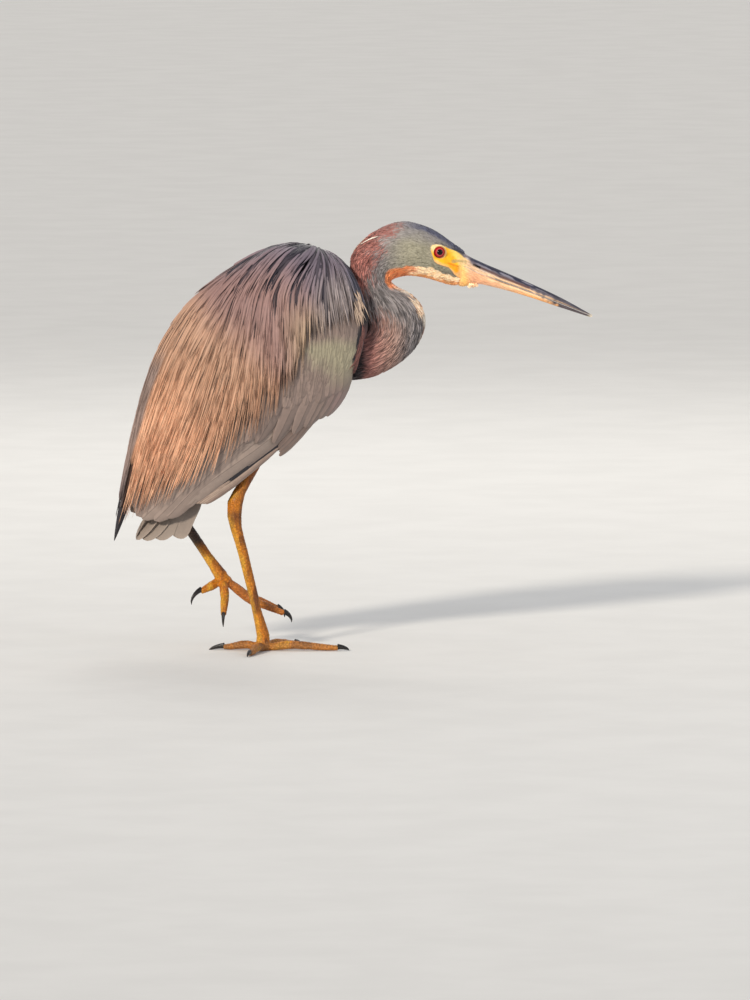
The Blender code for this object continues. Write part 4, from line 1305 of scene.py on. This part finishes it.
def coat_mantle(material):
    """The narrow, overlapping feathers of the upper back, on both sides of its ridge."""
    coat = Coat("upper_back_feathers", "back_plumes", material)
    stations = np.array([0, 0.12, 0.3, 0.5, 0.7, 0.85, 0.95, 1.0])
    for side, seed in ((RIGHT, 270), (LEFT, 280)):
        t, angle, chance = near(COVER, 1250, seed + 1, (0.0, 0.42), np.radians((0.3, 96)))
        angle = angle * side
        rng = np.random.default_rng(seed + 2)
        length = 26 + 24 * chance
        turn = rng.normal(0, 0.05, len(t)) + 0.08 * wobble(COVER.point(t, angle), 14, seed)
        laid = lay(COVER, t, angle, length, stations, down_the_back, 1.0, turn)
        path = COVER.point(laid[0], laid[1])
        keep = (plume_room(path[:, -1]) > 4) & (path[:, 0, 2] > 226 - 0.6 * (20 - path[:, 0, 0]))
        chance, length, path = chance[keep], length[keep], path[keep]
        laid = tuple(a[keep] for a in laid)
        # Most lie deep in painted shade; the few that stand over them are pale lances in painted light, and
        # the deep ones between them show as dark gaps
        front = smooth(path[:, 2, 0], 34, 46)
        sunk = rng.random(len(length)) > 0.34 + 0.42 * front
        height = rng.random(len(length))
        half = np.where(sunk, 1.5, 0.95 + 0.4 * chance - 0.4 * front)[:, None] * shape_pointed(stations, 0.4)
        value = np.where(sunk, 0.02 + 0.2 * height**2 + 0.3 * front, 0.46 + 0.4 * height)
        tone = plume_tint(path, laid[1], np.repeat(value[:, None], len(stations), 1))
        level = (np.where(sunk, 0.5, -0.7) - 0.6 * height)[:, None]
        inset = 2.3 - 1.4 * stations**0.7 + level * stations**0.4
        roll = rng.normal(0.1, 0.25, len(length))
        coat.on_form(COVER, laid, stations, length, half, 0.3, inset, STRAND, tone, STRAND_SHADE, roll=roll)
        add_buff_tuft(coat, side, stations, rng)
    coat.build()


def add_buff_tuft(coat, side, stations, rng):
    """The buff tuft where the shoulder meets the neck."""
    count = 30
    chance = rng.random((count, 3))
    t, angle = find(COVER, 57.5 + 5.0 * chance[:, 0], 248 - 14 * chance[:, 1], 0.0, side)
    length = 9 + 7 * chance[:, 2]
    turn = side * rng.normal(0.12, 0.16, count)
    laid = lay(COVER, t, angle, length, stations, down_the_back, 0.5, turn)
    half = (0.42 + 0.25 * chance[:, 1])[:, None] * shape_pointed(stations, 0.4)
    tone = held(mix(colour(112, 94, 90), colour(226, 198, 172), chance[:, 2]), stations)
    inset = 0.4 - 1.3 * stations**0.6 - 0.5 * chance[:, :1]
    coat.on_form(COVER, laid, stations, length, half, 0.25, inset, STRAND, tone, STRAND_SHADE)


# ---------------------------------------------------------------- wings


def wing_place(side, s, t):
    """The wing's own net on the plumage form, as in the solids: t along it and the angle."""
    top = 60 - 42 * smooth(s, 0.05, 0.6)
    low = 124 + 27 * smooth(s, 0.0, 0.24) - 6 * smooth(s, 0.22, 0.7) - 46 * smooth(s, 0.68, 1.12)
    angle = top + (low - top) * t
    if side == RIGHT:
        end = 0.918 - 0.04 * np.maximum(t, 0) ** 1.5
    else:
        end = 0.992 - 0.115 * smooth(t, 0.05, 0.42) - 0.02 * t
    front = wing_front(angle)
    return front + (end - front) * s, side * np.radians(angle)


def wing_front(angle):
    """Where the wing begins along the plumage form, at an angle in degrees."""
    return COVER.knot["bend of wing"] + 0.055 * smooth(angle, 88, 118)


def wing_feathers(coat, side, place, stations, half, inset, ends, tone, shade, camber=0.3):
    """Flight feathers whose centre lines are given on the plumage's form, as (feathers, stations).
    A feather has its full width between the two shares in `ends`."""
    t, angle = place
    p = COVER.point(t, angle, inset)
    along, around, normal = COVER.rates(t, angle)
    side_t, side_angle = steps_for(along, around, np.cross(normal, unit(np.gradient(p, axis=1))))
    half = np.broadcast_to(half, (len(t),))[:, None] * shape_round(stations, *ends)
    if side == LEFT:
        shade = [shade[k] for k in MIRRORED]
    laid = (t, angle, side_t, side_angle)
    coat.on_form(COVER, laid, stations, way_length(p), half, 0.26, inset, VANE, tone, shade, camber=camber)


def covert_tone(x, z, chance):
    """Grey coverts with a pale olive patch at the bend of the wing, and painted shadow along the wing's front
    edge.
    """
    place = np.stack([x, 0 * x, z], -1)
    patch = smooth(x + 3 * wobble(place, 12, 61), 18, 30) * smooth(z + 3 * wobble(place, 12, 62), 218, 206)
    patch = patch * smooth(z + 0.5 * (x - 40) + 6 * (chance - 0.5), 181, 203)
    edge = x - 0.14 * (z - 200) + 0.5 * wobble(place, 5, 63)
    tone = painted(
        colour(138, 120, 112),
        (colour(154, 146, 124), patch),
        (colour(146, 122, 118), smooth(x, 38, 50) * smooth(z, 184, 172)),
        # Painted shadow: near black in the crease at the wing's front edge, and dark red in the gaps beside
        # the fold's feathers
        (colour(24, 22, 30), smooth(edge, 58.4, 59.6) * smooth(z, 240, 232)),
        (colour(92, 60, 60), 0.9 * smooth(edge, 60.6, 61.8) * smooth(z, 224, 218)),
    )
    return tone * (1 + (0.11 - 0.06 * patch) * (2 * chance - 1))[..., None]


def coat_wing(material, side, name, node):
    coat = Coat(name, "wing_feathers", material, [node])
    seed = 300 if side == RIGHT else 350
    s, t = np.meshgrid(np.linspace(0.0, 0.90, 60), np.linspace(0.0, 0.93, 30), indexing="ij")
    along, angle = wing_place(side, s, t)
    # A shell under the feathers in a darkened covert tone, painted shade where it shows between them
    coat.plate(COVER, along, angle, 7.0, 8.4, colour(104, 92, 88))
    stations = np.array([0, 0.05, 0.15, 0.3, 0.45, 0.6, 0.72, 0.82, 0.89, 0.94, 0.98, 1.0])
    rng = np.random.default_rng(seed)

    def between(dark, pale, count):
        return held(mix(colour(*dark), colour(*pale), rng.random(count)), stations)

    def row(lines, u, first, last, half, root, fall, ends, tone, shade=THIN_RIM_SHADE, camber=0.3):
        """Feathers between guide lines. They lie `root` deep at their roots and rise by `fall`.
        The tone is given at (feathers, stations), or as chances from which the coverts' comes."""
        x, z = guided(lines, u.clip(0, 1), first + 0 * u, last + 0 * u, stations)
        if tone.ndim == 1:
            tone = covert_tone(x, z, tone[:, None])
        place = find(COVER, x, z, WING_INSET, side)
        inset = root[:, None] - fall * stations
        wing_feathers(coat, side, place, stations, half, inset, ends, tone, shade, camber)

    # Primaries: black, showing as a thin line below the secondaries, and as a point at the left wing's end
    u = np.linspace(0, 1, 3)
    tone = held(np.outer(0.85 + 0.3 * rng.random(3), colour(36, 33, 40)), stations)
    row(PRIMARIES, u, 0.2 + 0.04 * u, 0.86 - 0.1 * u, 3.2, 5.9 + 0.2 * u, 0.3, (0.1, 0.7), tone, SOFT_RIM_SHADE)
    if side == LEFT:
        add_wing_tip(coat, stations, rng)

    # A thin pale band of feathers below the black line, and a brown group before it
    u = np.linspace(0, 1, 6)
    tone = between((140, 118, 108), (178, 156, 140), 6)
    row(PALE_BAND, u, 0.4 * u, 0.88 + 0.12 * u, 2.5, 5.3 + 0.6 * u, 0.5, (0.15, 0.8), tone, camber=0.1)
    u = np.linspace(0, 1, 3)
    tone = between((124, 104, 96), (150, 128, 116), 3)
    row(BROWN_GROUP, u, 0.0, 1.0 - 0.16 * u, 3.8, 4.9 + 0.3 * u, 0.3, (0.15, 0.8), tone, camber=0.2)

    # Secondaries: broad, smooth and pale, with thin dark lines where they meet
    u = np.linspace(0, 1, 7)
    tone = between((138, 121, 113), (158, 141, 131), 7) * (0.92 + 0.12 * stations)[:, None]
    row(SECONDARIES, u, 0.0, 1.0, 8.4, 5.4 - 0.9 * u, 0.6, (0.12, 0.84), tone, camber=0.4)

    # A few feathers close the wing between the secondaries and the coverts' tips
    u = np.linspace(0, 1, 4)
    tone = between((136, 118, 110), (150, 134, 124), 4)
    row(FILLING, u, 0.0, 1.0 - 0.15 * u, 7.0, 5.7 - 0.45 * u, 0.2, (0.15, 0.75), tone)

    # Great coverts: long, hanging and turning back along the wing's edge, the front ones on top,
    # over a first row that fills the gaps between them
    ends = (0.15, 0.66)
    u = np.linspace(1, 0.06, 9)
    row(COVERTS, u, 0.2, 0.9, 5.6, 5.3 - 0.5 * (1 - u), 0.5, ends, rng.random(9), VANE_SHADE)
    u = np.linspace(1, 0, 9) + rng.uniform(-0.02, 0.02, 9)
    last = 0.98 + rng.uniform(-0.04, 0.03, 9)
    chance = rng.random(9)
    half = 6.3 * (0.9 + 0.2 * rng.random(9))
    row(COVERTS, u, 0.1, last, half, 4.7 - 0.9 * (1 - u) ** 0.7, 0.7, ends, chance, camber=0.45)

    # Middle coverts over their upper half
    u = rng.permutation(np.linspace(1, 0.04, 10))
    more = rng.uniform(-0.1, 0.14, 10)
    root = 4.1 - 0.8 * (1 - u) ** 0.7 - 0.5 * more
    row(COVERTS, u, -0.05, 0.52 + more, 6.4, root, 0.5 * stations, (0.15, 0.6), rng.random(10), SOFT_VANE_SHADE)

    add_small_coverts(coat, side, seed + 6, rng)
    add_fold_feathers(coat, side, stations, rng)
    coat.build()


def add_wing_tip(coat, stations, rng):
    """The left wing's end: five black primaries, and the points of three that pass the ridge."""
    k = np.arange(5)[:, None]
    along = 0.66 + (0.285 - 0.02 * k) * stations
    angle = LEFT * np.radians(46 + 3 * k - (38 - 1.5 * k) * smooth(stations, 0.0, 1.0))
    tone = held(np.outer(0.85 + 0.3 * rng.random(5), WING_BLACK), stations)
    inset = 1.6 + 0.35 * k + 0 * stations
    wing_feathers(coat, LEFT, (along, angle), stations, 3.6, inset, (0.1, 0.45), tone, SOFT_RIM_SHADE)
    # The points stand on edge, dark blades that narrow to the wing's tip
    above = np.array([0.0, 8.5, 16.5])[:, None]
    x, z = curve(LEFT_WING_TIP, stations).T
    points = np.stack([x + 0.28 * above, 2.2 + 0.14 * above + 0 * x, z + above], -1)
    normals = np.broadcast_to(unit(np.array([0.1, -1.0, 0.0])), points.shape)
    sides = unit(np.cross(normals, np.gradient(points, axis=1)))
    half = np.tile(3.5 * shape_pointed(stations, 0.62), (3, 1))
    tone = held(np.outer((1.0, 1.2, 1.45), colour(38, 35, 42)), stations)
    reach = way_length(points)
    uv = np.full((3, 2), 0.9)
    coat.free(points, sides, normals, stations, reach, half, 0.3, VANE, tone, uv, SOFT_RIM_SHADE, camber=0.12)


def add_small_coverts(coat, side, seed, rng):
    """Small coverts over the shoulder and the bend of the wing."""
    stations = np.array([0, 0.1, 0.25, 0.45, 0.65, 0.8, 0.9, 0.96, 1.0])
    t, angle, chance = near(COVER, 720, seed, (0.0, 0.34), np.radians((45, 140)))
    length = 27.0 * (0.8 + 0.4 * chance)
    turn = side * rng.normal(0, 0.05, len(t))
    laid = lay(COVER, t, angle * side, length, stations, down_the_wing, WING_INSET, turn)
    path, from_ridge = COVER.point(laid[0], laid[1]), np.abs(laid[1])
    edge_t, edge_angle = wing_place(RIGHT, np.linspace(0, 1, 80), 0.93)
    keep = (from_ridge < np.interp(laid[0], edge_t, edge_angle)).all(1)
    keep &= laid[0][:, 0] > wing_front(np.degrees(from_ridge[:, 0]))
    keep &= plume_room(path[:, 0]) < 26
    keep &= path[:, 0, 2] + 0.2 * (40 - path[:, 0, 0]) > 199
    laid = tuple(a[keep] for a in laid)
    chance, length, path = chance[keep], length[keep], path[keep]
    tone = covert_tone(path[..., 0], path[..., 2], chance[:, None])
    half = 3.6 * (0.85 + 0.3 * chance)[:, None] * shape_round(stations, 0.3, 0.5)
    level = rng.uniform(-0.08, 0.1, len(length)) - 0.4 * (path[:, 0, 2] - 150) / 100
    inset = 4.0 - 0.7 * stations**0.7 + level[:, None]
    coat.on_form(COVER, laid, stations, length, half, 0.2, inset, VANE, tone, SOFT_VANE_SHADE, camber=0.1)


def add_fold_feathers(coat, side, stations, rng):
    """Dark red feathers in the fold between the wing and the neck."""
    count = 110
    chance = rng.random((count, 3))
    z = 226 - 26 * chance[:, 0]
    x = 60.8 + 0.14 * (z - 205) + (1.8 + 0.05 * (z - 205)) * chance[:, 1]
    t, angle = find(COVER, x, z, WING_INSET, side)
    length = 7 + 5 * chance[:, 2]
    turn = side * rng.normal(0.1, 0.12, count)
    laid = lay(COVER, t, angle, length, stations, down_the_wing, WING_INSET, turn)
    half = np.tile(0.5 * shape_pointed(stations, 0.4), (count, 1))
    tone = held(mix(colour(70, 46, 48), colour(178, 116, 104), rng.random(count)), stations)
    inset = 3.1 - 0.3 * stations - 0.3 * chance[:, :1]
    coat.on_form(COVER, laid, stations, length, half, 0.2, inset, STRAND, tone, STRAND_SHADE)


# ---------------------------------------------------------------- tail


def coat_tail(material):
    coat = Coat("tail_feathers", "tail_feathers", material, ["tail"])
    stations = np.array([0, 0.1, 0.3, 0.5, 0.7, 0.82, 0.9, 0.95, 0.985, 1.0])
    count = 8
    root, tip = (np.array([x, 0, z]) for x, z in (TAIL_ROOT, TAIL_TIP))
    reach, along = np.linalg.norm(tip - root), unit(tip - root)
    up = np.array([along[2], 0, -along[0]])
    across = np.linspace(-1, 1, count)[:, None]
    forward = stations * (reach - 17.0 * across**2 * stations)
    aside = (6.5 + 6.0 * stations) * np.sin(1.25 * across)
    layer = 1.3 * (1 - np.abs(across)) * (1 - 0.3 * stations) - 0.5
    rise = layer - TAIL_DROP * (0.55 + 0.45 * stations) * across**2
    points = root + forward[..., None] * along + aside[..., None] * np.array([0, 1, 0]) + rise[..., None] * up
    # Each feather leans as the fan does where it lies
    normals = unit(np.cross(along, np.gradient(points, axis=0)))
    normals = normals * np.sign(normals @ up)[..., None]
    sides = unit(np.cross(normals, along))
    half = np.tile(9.6 * shape_round(stations, 0.15, 0.7), (count, 1))
    rng = np.random.default_rng(401)
    value = 0.9 + 0.2 * rng.random(count)
    tone = mix(colour(120, 107, 99), colour(147, 133, 122), stations) * value[:, None, None]
    uv = np.stack([0.5 + 0.3 * across[:, 0], np.full(count, 0.5)], -1)
    reach = np.full(count, reach)
    coat.free(points, sides, normals, stations, reach, half, 0.28, VANE, tone, uv, SOFT_RIM_SHADE, camber=0.05)
    coat.build()


# ---------------------------------------------------------------- bill, eyes and claws


def build_bill():
    t = np.linspace(0, 1, 150) ** 1.25
    # The horn's outer side, then its floor, drawn in a little so that the cutting edges stand as rims
    turn, floor = np.linspace(0, np.pi, 41), np.linspace(-0.85, 0.85, 9)
    rise = np.sin(turn) ** 0.8
    across = np.concatenate([np.cos(turn), floor])
    halves = (
        ("bill_upper", CULMEN, MOUTH, (134.8, 271.5, 133.2, 261.6), 0.17),
        ("bill_lower", MOUTH, GONYS, (133.2, 261.6, 131.2, 249.8), -0.17),
    )
    for node, top, bottom, root, lift in halves:
        upper = node == "bill_upper"
        rows = [(*a, *b, BILL_TOP_WIDTH * w) for a, b, w in zip(top, bottom, BILL_TAPER)]
        middle, deep, rest = Form([(*root, BILL_TOP_WIDTH - 1.6)] + rows).section(t)
        deep = deep if upper else -deep
        up = np.concatenate([rise, 0 * floor + 0.06])[:, None]
        place = (middle - deep)[:, None] + 2 * deep[:, None] * up + np.array([0.35, lift])
        x, z = place[..., 0], place[..., 1]
        y = rest[:, :1] * across
        depth = np.abs(y)
        if upper:
            marks = ((NOSTRIL, 0.9, 0.3, 1.1), (FURROW, 1.2, 0.2, 0.35))
        else:
            marks = ((LOWER_FURROW, 1.2, 0.2, 0.2),)
        for line, far, close, cut in marks:
            depth = depth - smooth(to_line(line, x, z), far, close) * cut * smooth(depth, 0.6, 1.6)
        p = np.stack([x, np.sign(y) * depth, z], -1)
        share = np.concatenate([rise, 0 * floor])
        tint = bill_tint(p, share, t[:, None], upper).reshape(-1, 3)
        made = make_mesh(node + "_horn", *loft(p), horn_material(node + "_horn"), 50)
        put_tint(made, np.concatenate([tint, tint[[0, -1]]]))
        finish_piece(made, [node])


def bill_tint(p, share, t, upper):
    """Blue black above, orange pink below, with a dark line at the mouth and a pale tip."""
    x, z = p[..., 0], p[..., 2]
    edge = 0.06 * wobble(p, 3, 71) + 0.03 * wobble(p, 1.3, 72)
    stretched = p * np.array([0.22, 1, 1]) + np.array([0, 0, 0.45]) * p[..., :1]
    streak = wobble(stretched, 1.1, 73)
    high = share + edge
    if upper:
        # Pale bluish streaks along the upper side are a painted highlight
        streaked_highlight = 0.7 * smooth(streak, 0.4, 0.8) * smooth(share, 0.5, 0.7) * smooth(share, 0.98, 0.9)
        dark_scratch = 0.8 * smooth(-streak, 0.1, 0.6) * smooth(share, 0.25, 0.4) * smooth(t, 0.12, 0.3)
        tint = painted(
            colour(236, 196, 156),
            (colour(214, 190, 172), smooth(high, 0.2, 0.4)),
            (colour(108, 98, 106), smooth(high + 0.14 * smooth(t, 0.12, 0.5), 0.36, 0.52)),
            (colour(44, 45, 66), smooth(high - 0.14 * smooth(t, 0.5, 0.12), 0.52, 0.66)),
            (colour(150, 146, 158), streaked_highlight),
            (colour(60, 56, 68), dark_scratch),
            (colour(66, 62, 70), 0.75 * smooth(t + edge, 0.5, 0.78)),
            (colour(92, 58, 52), 0.85 * smooth(to_line(FURROW, x, z) + 2 * edge, 1.1, 0.35)),
            (colour(20, 14, 18), smooth(to_line(NOSTRIL, x, z), 0.95, 0.4)),
        )
        horn = smooth(x + 0.9 * (z - 262) * smooth(z, 268, 262) + 6 * edge, 139.5, 144.5)
        horn = np.maximum(horn, smooth(high, 0.88, 0.97) * smooth(x, 138.0, 141.0))
    else:
        tint = painted(
            colour(246, 176, 132),
            (colour(244, 190, 146), smooth(t, 0.1, 0.4)),
            (colour(250, 176, 100), smooth(t + edge, 0.3, 0.6) * smooth(share, 0.2, 0.9)),
            (colour(250, 214, 170), 0.8 * smooth(np.abs(share - 0.25), 0.14, 0.04) * smooth(t, 0.12, 0.25)),
            (colour(84, 74, 78), smooth(t + edge + 0.10 * (1 - share), 0.70, 0.80)),
        )
        horn = smooth(x + 6 * edge, 139.5, 146.0)
    dashes = smooth(wobble(p, 2.2, 74), -0.7, 0.1)
    line = smooth(share, 0.10, 0.03) * smooth(t, 0.2, 0.28)
    return painted(
        mix(face_tint(p), tint, horn),
        (colour(44, 32, 34), (0.35 + 0.6 * dashes) * line),
        (colour(222, 206, 176), smooth(t, 0.965, 1.0)),
    )


def build_eyes():
    material = eye_material()
    polar = np.linspace(0.0, np.pi, 60)[1:-1, None, None]
    turn = np.linspace(0, FULL_TURN, 72, endpoint=False)
    radius = EYE_RADIUS + 0.4 * smooth(polar, 0.75, 0.12)
    for side, name in ((RIGHT, "right"), (LEFT, "left")):
        centre = np.array([EYE_CENTRE[0], -side * EYE_CENTRE[1], EYE_CENTRE[2]])
        gaze = unit(np.array([0.02, -side, 0.05]))
        first = unit(np.cross(gaze, np.array([0, 0, 1.0])))
        second = np.cross(first, gaze)
        ring = np.outer(np.cos(turn), first) + np.outer(np.sin(turn), second)
        points, quads, tris = loft(centre + radius * (np.cos(polar) * gaze + np.sin(polar) * ring))
        made = make_mesh("eyeball_" + name, points, quads, tris, material, 180)
        # The distance from the eye's axis draws the pupil and the iris
        off = points - centre
        ahead = off @ gaze
        out = np.where(ahead > 0, np.linalg.norm(off - np.outer(ahead, gaze), axis=1), 5.0)
        around = np.arctan2(off @ second, off @ first) / FULL_TURN
        put_attribute(made, "vane", "FLOAT_VECTOR", np.stack([out, around, 0 * out], -1))
        finish_piece(made, ["eye_" + name])


def build_claws():
    """The frame's own claws, rounded."""
    material = claw_material()
    toes = [f"{side}_{place}" for side in ("right", "left") for place in ("hind", "inner", "middle", "outer")]
    for toe in toes:
        made = show("claw_horn_" + toe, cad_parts["claw_" + toe].data.copy())
        made.modifiers.new("weld", "WELD").merge_threshold = 0.00002
        melt = made.modifiers.new("melt", "REMESH")
        melt.mode = "VOXEL"
        melt.voxel_size = 0.22 * MM
        made.modifiers.new("ease", "SMOOTH").iterations = 3
        evaluated = made.evaluated_get(bpy.context.evaluated_depsgraph_get())
        made.data = bpy.data.meshes.new_from_object(evaluated)
        made.modifiers.clear()
        # The claw's root reaches a little way into its toe
        root = read(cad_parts["toe_" + toe].data.vertices, "co", 3).mean(0)
        claw = read(made.data.vertices, "co", 3)
        tip = claw[np.argmax(np.linalg.norm(claw - root, axis=1))]
        made.data.vertices.foreach_set("co", (tip + (claw - tip) * 1.1).ravel())
        made.data.materials.clear()
        made.data.materials.append(material)
        made.data.shade_smooth()
        finish_piece(made, ["claw_" + toe])


# ---------------------------------------------------------------- studio


def aim(made, way):
    """Turn a lamp or a camera to look along `way`."""
    made.rotation_euler = way.to_track_quat("-Z", "Y").to_euler()


def build_studio():
    size = 40.0
    corners = [(-size, -size, 0), (size, -size, 0), (size, size, 0), (-size, size, 0)]
    mesh = bpy.data.meshes.new("floor")
    mesh.from_pydata(corners, [], [(0, 1, 2, 3)])
    mesh.materials.append(floor_material())
    floor = show("floor", mesh)

    azimuth, elevation = math.radians(-8), math.radians(5)
    level = math.cos(elevation)
    back = Vector((math.sin(azimuth) * level, -math.cos(azimuth) * level, math.sin(elevation)))
    data = bpy.data.cameras.new("camera")
    data.lens = 423.5
    data.sensor_width = 36.0
    data.clip_end = 200.0
    camera = show("camera", data)
    camera.location = Vector((0.0768, 0, 0.1017)) + back * 8.0
    aim(camera, -back)
    bpy.context.scene.camera = camera

    sun = bpy.data.lights.new("key", "SUN")
    sun.energy = 2.8
    sun.angle = math.radians(7)
    sun.color = (1.0, 0.92, 0.80)
    aim(show("key", sun), Vector((0.75, 1.0, -0.55)))
    for name, place, size, power, tone in (
        ("fill", (1.7, -1.5, 0.9), 1.4, 7, (0.88, 0.93, 1.0)),
        ("rim", (0.3, 1.7, 1.4), 1.2, 12, (1.0, 0.97, 0.92)),
    ):
        lamp = bpy.data.lights.new(name, "AREA")
        lamp.shape = "DISK"
        lamp.size = size
        lamp.energy = power
        lamp.color = tone
        made = show(name, lamp)
        made.location = Vector((0.02, 0.0, 0.17)) + Vector(place)
        aim(made, -Vector(place))
    world = bpy.data.worlds.new("studio")
    world.use_nodes = True
    background = world.node_tree.nodes["Background"].inputs
    background["Color"].default_value = (0.93, 0.95, 1.0, 1.0)
    background["Strength"].default_value = 0.5
    bpy.context.scene.world = world
    bpy.context.scene.view_settings.view_transform = "Standard"


def dress_heron():
    soft = feather_material("contour_feathers", barb=0.5, contrast=0.12, shaft=0.1)
    build_skin()
    coat_head(soft)
    coat_neck(soft)
    coat_belly(soft)
    plumes = feather_material("plume_strands", barb=0.7, contrast=0.14, shaft=0.05, roughness=0.55, sheen=0.1)
    coat_back(plumes, RIGHT, "back_plumes_right", ["mantle"])
    coat_back(plumes, LEFT, "back_plumes_left", [])
    coat_mantle(plumes)
    vanes = feather_material("wing_vanes", barb=0.8, contrast=0.12, shaft=0.3)
    coat_wing(vanes, RIGHT, "wing_feathers_right", "wing_right")
    coat_wing(vanes, LEFT, "wing_feathers_left", "wing_left")
    coat_tail(feather_material("tail_vanes", barb=0.8, contrast=0.12, shaft=0.3))
    build_bill()
    build_eyes()
    build_claws()


dress_heron()
build_studio()
